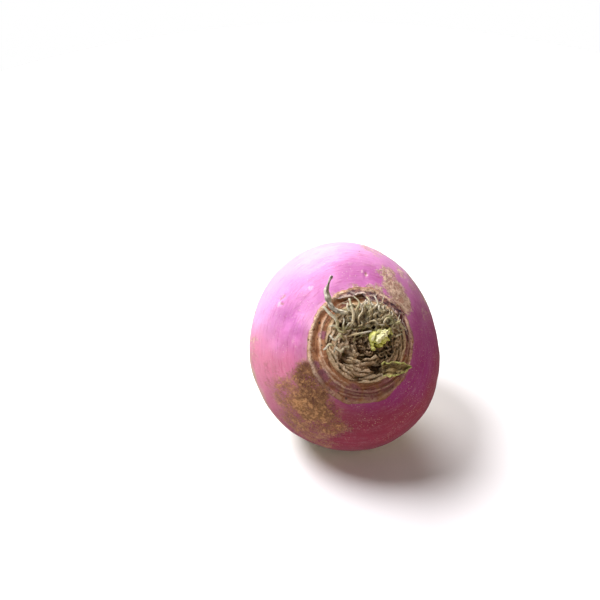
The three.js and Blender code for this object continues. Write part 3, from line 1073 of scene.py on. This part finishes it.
def standScale(
    bm, layers, radius, height, start, span, lean, crumple, tone, seed,
    curl=0.0, taper=0.7, grain=0.5, middle=(0, 0, 0), floor=-0.6,
):
    # one upright arc-shaped scale: a sheet bent round a middle, ragged on top and crumpled
    shape = scaleShape
    arcLength = math.radians(span) * radius
    columns = max(shape["fewestColumns"], int(arcLength / grain))
    sheet = bmesh.ops.create_grid(bm, x_segments=columns, y_segments=shape["rows"], size=1)["verts"]
    broadRag, fineRag = shape["ragged"]
    broadSize, fineSize = shape["raggedSizes"]
    foldSize, creaseSize = shape["foldSizes"]
    for vert in sheet:
        s, t = vert.co.x, (vert.co.y + 1) / 2
        turn = math.radians(start + span * (s + 1) / 2)
        around = Vector((math.cos(turn), math.sin(turn), 0))
        arc = arcLength * s / 2
        ends = 1 - between(shape["endsFrom"], 1.0, abs(s)) * taper
        ragged = 1 + broadRag * noise.noise((arc / broadSize, seed, 0))
        ragged += fineRag * noise.noise((arc / fineSize, seed, 5)) * t
        rise = height * ends * ragged * t
        fold = noise.noise((arc / foldSize, t * 1.1, seed))
        fold += 0.5 * noise.noise((arc / creaseSize, t * 1.6, seed + 9))
        fold *= crumple * t * shape["foldReach"]
        out = radius * (1 + 0.03 * noise.noise((turn * 1.3, seed, 2))) - lean * rise - curl * t ** 3 + fold
        droop = crumple * 0.5 * t * noise.noise((arc / shape["droopSize"], seed + 3, t))
        vert[layers["up"]] = t
        vert[layers["across"]] = arc
        vert[layers["tone"]] = tone
        vert.co = Vector(middle) + around * out + Vector((0, 0, rise + droop + floor))


leafScales = {
    # the four rings of leaf bases, from the mound's edge inwards: radius and height in mm, how many,
    # and the first one's angle, the angle each spans and the step to the next
    "rings": [
        (13.6, 2.6, 5, 190, 62, 72),
        (11.7, 3.4, 5, 226, 60, 72),
        (9.8, 4.2, 3, 75, 60, 70),
        (7.9, 4.6, 3, 110, 60, 72),
    ],
    "lean": 0.44,
    "curl": 0.35,
    "thickness": 0.46,
    "crumple": 0.32,
    # each base is two sheets: how far each stands from the ring's radius, how tall it is,
    # how far it reaches past its span, and how bright it is
    "sheets": [(1.1, 0.8, 1.15, 0.55), (0.15, 1.05, 1.04, 0.8)],
    "toneSpread": 0.2,
}


def makeLeafBases(material):
    number = 0
    for radius, height, count, first, span, step in leafScales["rings"]:
        for i in range(count):
            number += 1
            name = f"leaf_base_{number:02d}"
            bm, layers = startPiece()
            for k, (offset, tall, wide, tone) in enumerate(leafScales["sheets"]):
                standScale(
                    bm,
                    layers,
                    radius=radius + offset,
                    height=height * tall,
                    start=first + i * step - span * (wide - 1) / 2,
                    span=span * wide,
                    lean=leafScales["lean"],
                    curl=leafScales["curl"],
                    crumple=leafScales["crumple"],
                    tone=tone + leafScales["toneSpread"] * noise.noise((number * 1.7, k, 0)),
                    seed=number * 3.7 + k * 11.3,
                )
            finishOnCrown(bm, name + "_scales", [name], material, leafScales["thickness"])


innerScales = {
    # crumpled scales packed between the leaf bases and the heart, round the heart
    "count": 46,
    "reach": (3.6, 9.6),        # mm from the heart
    "stray": 0.4,
    "angles": (140, 395),
    "span": (50, 110),
    "heart": (4.2, 0.8),
    "height": (2.0, 3.9),
    "lean": (0.1, 0.8),
    "tone": (-0.2, 1.15),
    "grain": 0.4,
    "thickness": 0.38,
    "crumple": 0.75,
    "seeds": (0, 90),
    # and tight curls that fill the gaps: where, how far from there they stray, how many and how bright
    "curls": [
        ((-2.6, -0.6), (3.6, 3.0), 22, (0.3, 1.2)),
        ((9.8, 0.2), (1.6, 3.6), 12, (0.6, 1.3)),
        ((5.4, -4.6), (3.6, 1.8), 12, (-0.4, 0.5)),
    ],
    "curlRadius": (0.7, 2.1),
    "curlHeight": (2.6, 4.0),
    "curlSpan": (110, 230),
    "curlLean": (-0.2, 0.3),
    "curlGrain": 0.3,
}


def makeInnerScales(material):
    rand = random.Random(11)
    bm, layers = startPiece()
    look = innerScales
    low, high = look["reach"]
    for i in range(look["count"]):
        share = i / (look["count"] - 1)
        span = rand.uniform(*look["span"]) * (1.2 - 0.6 * share)
        standScale(
            bm,
            layers,
            middle=(*look["heart"], 0),
            radius=low + (high - low) * share + rand.uniform(-look["stray"], look["stray"]),
            height=rand.uniform(*look["height"]) * (1.15 - 0.3 * share),
            start=rand.uniform(*look["angles"]) - span / 2,
            span=span,
            lean=rand.uniform(*look["lean"]),
            crumple=look["crumple"],
            tone=rand.uniform(*look["tone"]),
            grain=look["grain"],
            seed=rand.uniform(*look["seeds"]),
        )
    for place, stray, count, tone in look["curls"]:
        for _ in range(count):
            middle = [a + rand.uniform(-b, b) for a, b in zip(place, stray)]
            standScale(
                bm,
                layers,
                middle=(*middle, 0),
                radius=rand.uniform(*look["curlRadius"]),
                height=rand.uniform(*look["curlHeight"]),
                start=rand.uniform(0, 360),
                span=rand.uniform(*look["curlSpan"]),
                lean=rand.uniform(*look["curlLean"]),
                crumple=look["crumple"],
                tone=rand.uniform(*tone),
                grain=look["curlGrain"],
                seed=rand.uniform(*look["seeds"]),
            )
    finishOnCrown(bm, "inner_scales", [], material, look["thickness"])


strands = {
    # one tuft for each: the angle it points in, and the reach, swing and rise of its middle strand
    "tufts": [
        (38, 4.6, -0.7, 0.4),
        (52, 5.4, 0.8, 1.2),
        (66, 6.6, -0.6, 0.3),
        (80, 7.2, 0.7, 1.0),
        (94, 6.2, -0.8, 0.2),
        (108, 8.0, 0.7, 0.9),
        (122, 6.4, -0.7, 0.5),
        (158, 6.0, 0.8, 0.8),
        (176, 4.4, -0.6, 0.3),
        (194, 4.0, 0.7, 0.5),
    ],
    # longer strands that stand out: the tuft they belong to, half width, tone and route
    "longer": [
        (7, 0.44, 0.85, [
            (-8.4, 4.0, 3.6), (-6.4, 5.6, 5.0), (-5.8, 9.6, 5.2), (-6.6, 12.6, 4.4), (-7.2, 15.2, 3.2),
        ]),
        (7, 0.40, 0.75, [(-3.4, 5.4, 4.6), (-4.0, 8.4, 5.6), (-2.6, 11.0, 5.2), (-3.4, 13.6, 4.0)]),
        (8, 0.50, 0.8, [
            (-12.6, 4.4, 1.8), (-11.0, 5.2, 2.6), (-11.6, 7.6, 2.9), (-13.9, 9.6, 2.5), (-16.2, 12.2, 1.4),
        ]),
        (8, 0.34, 1.0, [(-8.6, 1.2, 4.6), (-5.6, 2.4, 5.6), (-2.6, 3.1, 6.2), (0.6, 3.9, 6.4)]),
        (3, 0.46, 0.7, [(3.6, 8.6, 4.6), (4.8, 10.4, 5.2), (3.4, 11.6, 5.4), (3.4, 13.2, 4.6)]),
        (3, 0.40, 0.6, [(7.6, 5.4, 4.4), (5.2, 7.0, 5.8), (6.6, 8.8, 5.6), (9.4, 7.4, 4.6)]),
        (5, 0.30, 0.95, [(-1.6, 6.2, 5.0), (1.4, 7.6, 6.0), (3.4, 6.2, 5.8), (6.4, 6.4, 5.2)]),
        (5, 0.42, 0.8, [(0.6, 9.0, 4.8), (0.0, 11.2, 5.2), (1.2, 13.4, 4.2)]),
    ],
    # the middle strand of a tuft: mm past the start, shares of its reach and of its bow, its height
    # in mm and the share of its rise
    "middle": [
        (-1.5, 0.0, -0.5, 2.8, 0.0),
        (0.0, 0.0, 0.4, 4.6, 0.0),
        (0.0, 0.3, 1.0, 4.6, 0.5),
        (0.0, 0.62, -0.5, 3.6, 1.0),
    ],
    "tipReach": (0.82, 1.0),
    "tipBow": (0.2, 1.2),
    "tipHeight": 2.2,
    "start": 9.4,
    "half": 0.34,
    "halfSpread": (0.8, 1.15),
    "bow": (0.8, 2.4),
    "tone": (0.5, 0.9),
    "flatness": (1.0, 1.5),
    "sides": 6,
    "steps": 14,
}

# the loose fibres of each tuft: lengths in mm, angles in degrees
looseFibres = {
    "perTuft": 20,
    "fewPerTuft": 2,
    "thinAfter": 150,
    "stray": 14,
    "from": (4.6, 12.6),
    "height": (2.8, 5.0),
    "turn": 75,
    "length": (2.2, 6.2),
    "bend": 1.4,
    "rooted": 1.6,          # how far its foot goes down
    # along its length, aside as a share of its bend, and how far up or down
    "route": [(0.5, 1.0, (-0.2, 0.9)), (0.8, -0.2, (-0.8, 0.5)), (1.0, -0.8, (-1.8, 0.0))],
    "half": (0.10, 0.32),
    "tone": (0.2, 1.3),
    "darkFrom": (2.6, 4.4),     # the ones that lie lower are darker, as painted shade
    "heart": (3.8, 2.0),
    "clearOfHeart": 5.2,
    "mound": 13.2,          # outside this radius they hang down
    "hang": 0.8,
}


def strandSizes(radius, steps, seed, flat=1.0):
    # thin at both ends, uneven between
    sizes = []
    for i in range(steps + 1):
        t = i / steps
        wide = radius * (0.35 + 0.65 * math.sin(math.pi * (0.12 + 0.8 * t)) ** 0.6)
        wide *= 1 + 0.25 * noise.noise((t * 5, seed, 0))
        sizes.append((wide * flat, wide / flat))
    return sizes


def alongCrown(angle, distance, side, height):
    direction = math.radians(angle)
    return (
        distance * math.cos(direction) - side * math.sin(direction),
        distance * math.sin(direction) + side * math.cos(direction),
        height,
    )


def looseStrand(rand, angle):
    # a thin fibre that starts near the tuft, lies in any direction and drops at its ends
    loose = looseFibres
    stray, turn, bow = loose["stray"], loose["turn"], loose["bend"]
    around = angle + rand.uniform(-stray, stray)
    base = Vector(alongCrown(around, rand.uniform(*loose["from"]), 0, rand.uniform(*loose["height"])))
    heartPlace = Vector((*loose["heart"], base.z))
    if (base - heartPlace).length < loose["clearOfHeart"]:
        base = heartPlace + (base - heartPlace).normalized() * loose["clearOfHeart"]
    heading = math.radians(angle + rand.choice((0, 0, 180)) + rand.uniform(-turn, turn))
    ahead = Vector((math.cos(heading), math.sin(heading), 0))
    aside = Vector((-ahead.y, ahead.x, 0))
    length = rand.uniform(*loose["length"])
    bend = rand.uniform(-bow, bow)
    route = [base - Vector((0, 0, loose["rooted"]))]
    route.append(base + ahead * length * 0.2 + aside * bend * 0.4 + Vector((0, 0, 0.3)))
    for share, sideways, rise in loose["route"]:
        lift = Vector((0, 0, rand.uniform(*rise)))
        route.append(base + ahead * length * share + aside * bend * sideways + lift)
    for point in route:
        point.z -= max(0.0, math.hypot(point.x, point.y) - loose["mound"]) * loose["hang"]
    # painted shade: the fibres that lie low in the mat are darker
    shade = between(*loose["darkFrom"], base.z)
    return rand.uniform(*loose["half"]), rand.uniform(*loose["tone"]) * shade, route


def makeStrands(material):
    rand = random.Random(23)
    start, steps = strands["start"], strands["steps"]
    for number, (angle, reach, swing, rise) in enumerate(strands["tufts"], 1):
        name = f"dry_strand_{number:02d}"
        bm, layers = startPiece()
        bow = swing * rand.uniform(*strands["bow"])
        main = [
            alongCrown(angle, start + past + reach * share, bow * sideways, height + rise * lift)
            for past, share, sideways, height, lift in strands["middle"]
        ]
        tipReach, tipBow = (rand.uniform(*strands[name]) for name in ("tipReach", "tipBow"))
        main.append(alongCrown(angle, start + reach * tipReach, bow * tipBow, strands["tipHeight"] + rise))
        half = strands["half"] * rand.uniform(*strands["halfSpread"])
        laid = [(half, rand.uniform(*strands["tone"]), main)]
        laid += [strand for tuft, *strand in strands["longer"] if tuft == number]
        few = angle >= looseFibres["thinAfter"]
        for _ in range(looseFibres["fewPerTuft" if few else "perTuft"]):
            laid.append(looseStrand(rand, angle))
        for half, tone, route in laid:
            sizes = strandSizes(half, steps, rand.uniform(0, 50), rand.uniform(*strands["flatness"]))
            sweepAlong(bm, smoothPath(route, steps), sizes, strands["sides"], layers, tone)
        closePiece(bm)
        finishOnCrown(bm, name + "_tuft", [name], material)


stalk = {
    "route": [
        (-7.0, 9.8, 4.2),
        (-9.4, 10.2, 4.2),
        (-12.1, 11.0, 3.6),
        (-14.3, 13.4, 2.5),
        (-15.0, 17.0, 1.4),
        (-14.3, 20.2, 0.4),
        (-13.2, 23.2, -0.8),
    ],
    "widths": [0.4, 0.8, 1.05, 1.25, 1.1, 0.5, 0.26],
    "steps": 64,
    "sides": 20,
    "flatness": 0.55,
    "lumps": [(0.75, 6, 3.3), (0.375, 15, 7.1)],    # how deep, how many and a seed
    "ribs": 0.42,
    "ribLength": 16,
}


def makeStalk(material):
    # a dried stalk, withered to uneven ribs
    bm, layers = startPiece()
    steps, sides = stalk["steps"], stalk["sides"]
    widths = smoothPath([(w, 0, 0) for w in stalk["widths"]], steps)
    sizes = []
    for i, width in enumerate(widths):
        t = i / steps
        lump = 1 + sum(deep * noise.noise((t * many, seed, 0)) for deep, many, seed in stalk["lumps"])
        sizes.append((width.x * stalk["flatness"] * lump, width.x * lump))
    sweepAlong(bm, smoothPath(stalk["route"], steps), sizes, sides, layers, 1.0)
    closePiece(bm)
    bm.normal_update()
    for vert in bm.verts:
        turn = vert[layers["across"]] / (sideStep * sides) * 2 * math.pi
        along = vert[layers["up"]] * stalk["ribLength"]
        groove = noise.noise((math.cos(turn) * 2.4, math.sin(turn) * 2.4, along * 0.25))
        knot = noise.noise((math.cos(turn), math.sin(turn), along * 0.6 + 4))
        vert.co += vert.normal * stalk["ribs"] * (groove * 2.2 + knot)
    finishOnCrown(bm, "dried_stalk_body", ["dried_stalk"], material)


witheredLeaf = {
    "base": (5.4, -9.8),
    "tip": (16.0, -8.3),
    "width": (2.8, 4.4, 0.3),       # half the width at the foot, in the middle and at the tip
    "height": 3.8,
    "drop": 1.2,
    "edgeCurl": 1.6,
    "thickness": 0.32,
    "columns": 60,
    "rows": 36,
    "bunching": 0.22,
    "foldHeight": 0.5,
    "leastCurl": 0.7,
    # waves over the leaf: their strength, how many come along it and across it, and a seed
    "widthWaves": [(0.3, 6, 1, 4)],
    "bunchWaves": [(0.12, 8, 3, 12)],
    "lengthWaves": [(0.05, 5, 4, 9)],
    "curlWaves": [(1.0, 4, 1, 6)],
    "creases": [(1.3, 3.4, 2.2, 8), (0.585, 9, 5, 3)],
}


def makeWitheredLeaf(material):
    bm, layers = startPiece()
    leaf = witheredLeaf
    sheet = bmesh.ops.create_grid(bm, x_segments=leaf["columns"], y_segments=leaf["rows"], size=1)["verts"]
    base, tip = Vector(leaf["base"]), Vector(leaf["tip"])
    length = (tip - base).length
    run = (tip - base).normalized()
    side = Vector((-run.y, run.x))
    first, middle, last = leaf["width"]
    for vert in sheet:
        s, t = (vert.co.x + 1) / 2, vert.co.y
        half = first * (1 - s) ** 2 + 2 * middle * s * (1 - s) + last * s ** 2
        half *= 1 + sheetWaves(s, t, leaf["widthWaves"])
        bunched = t * (1 - leaf["bunching"] * t * t) + sheetWaves(s, t, leaf["bunchWaves"])
        along = length * (s + sheetWaves(s, t, leaf["lengthWaves"]))
        flat = base + run * along + side * half * bunched
        # one slanting fold, and the two long edges curl up
        fold = leaf["foldHeight"] * abs(noise.noise((s * 5 + t * 2, t * 1.5, 21)))
        curl = leaf["edgeCurl"] * abs(t) ** 3 * (leaf["leastCurl"] + sheetWaves(s, t, leaf["curlWaves"]))
        rise = leaf["height"] + sheetWaves(s, t, leaf["creases"]) + fold + curl - leaf["drop"] * s ** 2
        vert[layers["up"]] = max(abs(t), 2 * s - 1)
        vert[layers["across"]] = s * 10
        vert[layers["tone"]] = 0.5 + 0.5 * t
        vert.co = Vector((flat.x, flat.y, rise))
    finishOnCrown(bm, "withered_leaf_blade", ["withered_leaf"], material, leaf["thickness"])


heart = {
    # each leaflet is a knot of crumpled lobes: where a lobe sits over the mound, its half sizes in mm,
    # how far it is turned and leans over, how deep its folds are and how bright it is
    "leaflets": [
        [
            ((1.2, 2.1, 3.7), (0.8, 2.1, 2.5), -14, 14, 0.10, 0.62),
            ((2.0, 2.6, 3.6), (0.7, 1.7, 2.1), -34, 4, 0.25, 0.72),
            ((1.9, 0.7, 3.2), (0.8, 1.1, 1.7), 20, 10, 0.25, 0.35),
        ],
        [
            ((3.3, 1.3, 4.3), (1.1, 1.4, 2.2), -40, 12, 0.40, 1.0),
            ((4.4, 2.3, 4.7), (1.2, 1.9, 2.3), -55, -8, 0.45, 1.15),
            ((3.9, 3.5, 4.0), (0.7, 1.5, 2.0), -70, -20, 0.40, 0.85),
        ],
        [
            ((5.8, 3.4, 4.5), (1.1, 1.7, 2.1), -48, -6, 0.45, 1.05),
            ((7.4, 4.2, 3.8), (0.7, 1.2, 1.6), -20, -14, 0.40, 0.70),
            ((8.3, 3.7, 3.4), (0.5, 1.0, 1.4), 30, -18, 0.40, 0.45),
        ],
        [
            ((1.8, -2.4, 2.9), (0.6, 1.1, 1.7), 52, 16, 0.20, 0.45),
            ((1.5, -0.7, 2.8), (0.7, 1.2, 1.6), 8, 10, 0.25, 0.20),
        ],
        # the fifth leaflet's dim lobes lie under the heart, their low brightness painted shade
        [
            ((5.0, 0.7, 3.3), (1.2, 1.5, 2.0), 66, 12, 0.40, 0.30),
            ((4.1, -1.0, 2.7), (1.0, 1.5, 1.7), 86, 8, 0.35, 0.0),
            ((6.2, 1.8, 3.2), (0.9, 1.4, 1.8), 40, 8, 0.40, 0.40),
        ],
    ],
    "detail": 5,            # how finely each lobe is divided
    "cupped": 0.22,
    # swellings, ridges and fine ridges: how strong, how many across a lobe and how many up it
    "broadFolds": (0.9, 1.7, 0.9),
    "ridges": (0.45, 2.9, 1.2),
    "fineRidges": (0.22, 6.0, 3.0),
    "shrink": 0.2,
}


def standLobe(bm, layers, place, half, turn, lean, folds, tone, seed):
    # a small fleshy lobe, creased into folds that run up it and crowd at its crest
    verts = bmesh.ops.create_icosphere(bm, subdivisions=heart["detail"], radius=1)["verts"]
    turned = Matrix.Rotation(math.radians(turn), 3, "Z") @ Matrix.Rotation(math.radians(lean), 3, "Y")
    broadPart, broadAcross, broadUp = heart["broadFolds"]
    ridgePart, ridgeAcross, ridgeUp = heart["ridges"]
    finePart, fineAcross, fineUp = heart["fineRidges"]
    for vert in verts:
        x, y, z = vert.co
        broad = noise.noise((x * broadAcross + seed, y * broadAcross, z * broadUp))
        ridges = 1 - 2 * abs(noise.noise((x * ridgeAcross, y * ridgeAcross + seed, z * ridgeUp)))
        fine = 1 - 2 * abs(noise.noise((x * fineAcross, y * fineAcross, z * fineUp + seed)))
        swell = broadPart * broad + ridgePart * ridges + finePart * fine - heart["shrink"]
        shaped = Vector(a * b * (1 + folds * swell) for a, b in zip((x, y, z), half))
        shaped.x += heart["cupped"] * shaped.y ** 2 / half[1]
        # up is high on the crests for the painted highlight and low in the folds and at the foot for the
        # painted shade
        vert[layers["up"]] = min(1.0, max(0.0, 0.38 + 0.42 * z + 0.28 * ridges))
        vert[layers["across"]] = y * 3
        vert[layers["tone"]] = tone
        vert.co = Vector(place) + turned @ shaped


def makeHeart(material):
    for i, lobes in enumerate(heart["leaflets"]):
        name = f"heart_leaflet_{i + 1}"
        bm, layers = startPiece()
        for k, lobe in enumerate(lobes):
            standLobe(bm, layers, *lobe, seed=7.1 * i + 13 * k)
        finishOnCrown(bm, name + "_blade", [name], material)


rimFlakes = {
    # torn papery flaps on the rim, by their angle round the root's axis
    "flaps": [
        {"start": 38, "span": 34, "radius": 20.9, "height": 2.2, "lean": 1.5, "tone": 0.5},
        {"start": 50, "span": 42, "radius": 19.8, "height": 2.4, "lean": 1.1, "tone": 0.0},
        {"start": 70, "span": 34, "radius": 21.2, "height": 1.7, "lean": 1.3, "tone": 0.8},
        {"start": 94, "span": 28, "radius": 20.7, "height": 1.4, "lean": 1.2, "tone": 0.8},
        {"start": 14, "span": 24, "radius": 19.4, "height": 1.2, "lean": 1.4, "tone": 0.4},
    ],
    # what all of them share
    "shape": {"crumple": 0.5, "floor": 0.1, "taper": 0.95, "grain": 0.4},
    "thickness": 0.2,
}


def makeRimFlakes(material):
    moundX, moundY = crownShape["moundPlace"]
    for i, flap in enumerate(rimFlakes["flaps"]):
        bm, layers = startPiece()
        level = math.sqrt(1 - (flap["radius"] / rootShape["radius"]) ** 2) * rootShape["crownHeight"]
        middle = (-moundX, -moundY, level - crownShape["moundHeight"])
        standScale(bm, layers, middle=middle, seed=4.1 * i + 50, **flap, **rimFlakes["shape"])
        finishOnCrown(bm, f"rim_flake_{i + 1}", [], material, rimFlakes["thickness"])


dryLook = {
    "deep": (0.060, 0.028, 0.010),
    "brown": (0.24, 0.125, 0.05),
    "fibre": (0.36, 0.23, 0.10),
    "tan": (0.56, 0.36, 0.19),
    "buff": (0.76, 0.58, 0.38),
    "straw": (0.84, 0.72, 0.42),
    "pale": (0.97, 0.94, 0.77),
    "ashen": (0.82, 0.79, 0.66),
    "green": (0.40, 0.42, 0.13),
    "mould": (0.05, 0.045, 0.035),
    "gloss": 0.2,
    "bump": 0.18,           # mm
    # each kind of dry matter: its colours from the foot up, how much green is left and how white it wears
    "kinds": {
        "dryScale": ("deep", "tan", "buff", 0.08, 0.5),
        "dryStrand": ("fibre", "straw", "pale", 0.45, 0.9),
        "dryStalk": ("straw", "ashen", "pale", 0.05, 1.0),
    },
}


def grainCoordinates(tree, quick, slow):
    # across the piece quickly, along it slowly, and a little of the place so that no two pieces match
    place = axesOf(tree.nodes.new("ShaderNodeTexCoord").outputs["Object"])
    joined = {
        "X": times(readAttribute(tree, "across"), quick),
        "Y": times(readAttribute(tree, "up"), slow),
        "Z": times(place["Z"], 220.0),
    }
    return addNode(tree, "ShaderNodeCombineXYZ", joined).outputs[0]


def dryMaterial(name):
    # dried plant matter: darker at its foot, partly painted shade, and paler at its edge, partly painted
    # highlight, with grain along it; no two parts the same
    material, tree, shader = newMaterial(name)
    look = dryLook
    *colors, greenShare, whiteness = look["kinds"][name]
    lowTone, highTone, tipTone = (look[color] for color in colors)
    body = bodyCoordinates(tree)
    tone = readAttribute(tree, "tone")
    grain = useEffect("grain", grainCoordinates(tree, 2.6, 1.2), scale=1.0)
    blotch = noiseFac(body, 0.35, 4, 0.6)
    mottle = noiseFac(body, 1.1, 5, 0.7)
    rise = plus(readAttribute(tree, "up"), scaled(blotch, 0.9, -0.45))
    # the foot's dark tone is partly painted shade, the pale edge partly painted highlight
    color = blendColor(spread(rise, -0.05, 0.45), lowTone, highTone)
    tipShare = times(spread(rise, 0.40, 0.95), scaled(tone, 0.8, 0.2))
    color = blendColor(tipShare, color, tipTone)
    color = blendColor(scaled(grain, -0.5, 0.5), color, look["brown"])
    color = blendColor(spread(tone, 0.45, 0.0, 0.0, 0.75), color, lowTone)
    # dark brown in blotches, more of them on the dimmer pieces, and pale where it is worn
    darkBlotches = times(spread(mottle, 0.52, 0.38, 0.0, 0.65), lessThan(1.1, tone), clamp=True)
    color = blendColor(darkBlotches, color, look["deep"])
    pale = times(spread(noiseFac(body, 0.8, 4, 0.7), 0.50, 0.70), times(tone, whiteness))
    color = blendColor(pale, color, look["pale"])
    greenish = times(spread(noiseFac(body, 0.16, 3, 0.5), 0.48, 0.62), greenShare)
    color = blendColor(greenish, color, look["green"])
    mould = useEffect("speckles", body, scale=0.5, coverage=0.2)
    color = blendColor(times(mould, 0.8), color, look["mould"])
    height = scaled(blotch, 0.8, scaled(mottle, 0.6, grain))
    finishShader(shader, color, scaled(grain, -0.12, 0.85), height, look["bump"] * mm, look["gloss"])
    return material


leafLook = {
    "brown": (0.06, 0.038, 0.014),
    "olive": (0.30, 0.21, 0.085),
    "green": (0.52, 0.54, 0.16),
    "vein": (0.44, 0.34, 0.16),
    "gloss": 0.25,
    "bump": 0.25,
}


def leafMaterial():
    # olive brown, with paler veins and green left near the edge
    material, tree, shader = newMaterial("witheredLeaf")
    look = leafLook
    body = bodyCoordinates(tree)
    net = useEffect("cracks", body, scale=0.6, width=0.12)
    blotch = noiseFac(body, 0.45, 5, 0.7)
    color = blendColor(spread(blotch, 0.38, 0.60), look["brown"], look["olive"])
    nearEdge = plus(readAttribute(tree, "up"), scaled(blotch, 1.2, -0.6))
    color = blendColor(times(spread(nearEdge, 0.62, 0.95), 0.9), color, look["green"])
    color = blendColor(scaled(net, -0.3, 0.3), color, look["vein"])
    roughness = scaled(blotch, 0.2, 0.65)
    finishShader(shader, color, roughness, scaled(net, -0.4, blotch), look["bump"] * mm, look["gloss"])
    return material


heartLook = {
    "foot": (0.11, 0.075, 0.015),
    "green": (0.46, 0.44, 0.06),
    "yellow": (0.85, 0.85, 0.22),
    "crest": (0.97, 0.95, 0.58),
    "vein": (0.42, 0.44, 0.04),
    "gloss": 0.2,
    "bump": 0.15,
}


def heartMaterial():
    # yellow on the crests, near white there as painted highlight; green in the folds and olive brown at the
    # foot, partly painted shade
    material, tree, shader = newMaterial("freshLeaflet")
    look = heartLook
    blotch = noiseFac(bodyCoordinates(tree), 0.7, 4, 0.6)
    brightness = scaled(readAttribute(tree, "tone"), 0.55, -0.85)
    rise = plus(readAttribute(tree, "up"), scaled(blotch, 0.9, brightness))
    color = blendColor(spread(rise, -0.05, 0.30), look["foot"], look["green"])
    color = blendColor(spread(rise, 0.22, 0.62), color, look["yellow"])
    color = blendColor(spread(rise, 0.66, 1.0), color, look["crest"])
    veins = useEffect("grain", grainCoordinates(tree, 1.6, 0.8), scale=1.0)
    color = blendColor(times(veins, 0.10), color, look["vein"])
    roughness = scaled(veins, -0.1, 0.6)
    finishShader(shader, color, roughness, scaled(blotch, 0.9, veins), look["bump"] * mm, look["gloss"])
    return material


flakeLook = {
    "dark": (0.055, 0.026, 0.036),
    "brown": (0.24, 0.11, 0.085),
    "fringe": (0.62, 0.50, 0.42),
    "gloss": 0.25,
    "bump": 0.25,
}


def flakeMaterial():
    # torn skin: purple, brown and grey with a whitish fringe
    material, tree, shader = newMaterial("tornSkin")
    look = flakeLook
    body = bodyCoordinates(tree)
    blotch = noiseFac(body, 0.7, 4, 0.65)
    strips = useEffect("grain", grainCoordinates(tree, 0.5, 3.0), scale=1.0)
    color = blendColor(spread(blotch, 0.42, 0.60), look["dark"], look["brown"])
    rise = plus(readAttribute(tree, "up"), scaled(blotch, 0.8, scaled(strips, 0.5, -0.65)))
    fringe = times(spread(rise, 0.6, 0.95), scaled(readAttribute(tree, "tone"), 0.6, 0.4))
    color = blendColor(fringe, color, look["fringe"])
    specks = useEffect("speckles", body, scale=0.6, coverage=0.22)
    color = blendColor(times(specks, 0.8), color, dryLook["mould"])
    finishShader(shader, color, scaled(blotch, 0.2, 0.65), blotch, look["bump"] * mm, look["gloss"])
    return material


dryScale, dryStrand, dryStalk = (dryMaterial(name) for name in dryLook["kinds"])
makeLeafBases(dryScale)
makeInnerScales(dryScale)
print("leaf bases set")
makeStrands(dryStrand)
makeStalk(dryStalk)
print("strands laid")
makeWitheredLeaf(leafMaterial())
makeHeart(heartMaterial())
makeRimFlakes(flakeMaterial())
print("heart and leaf placed")
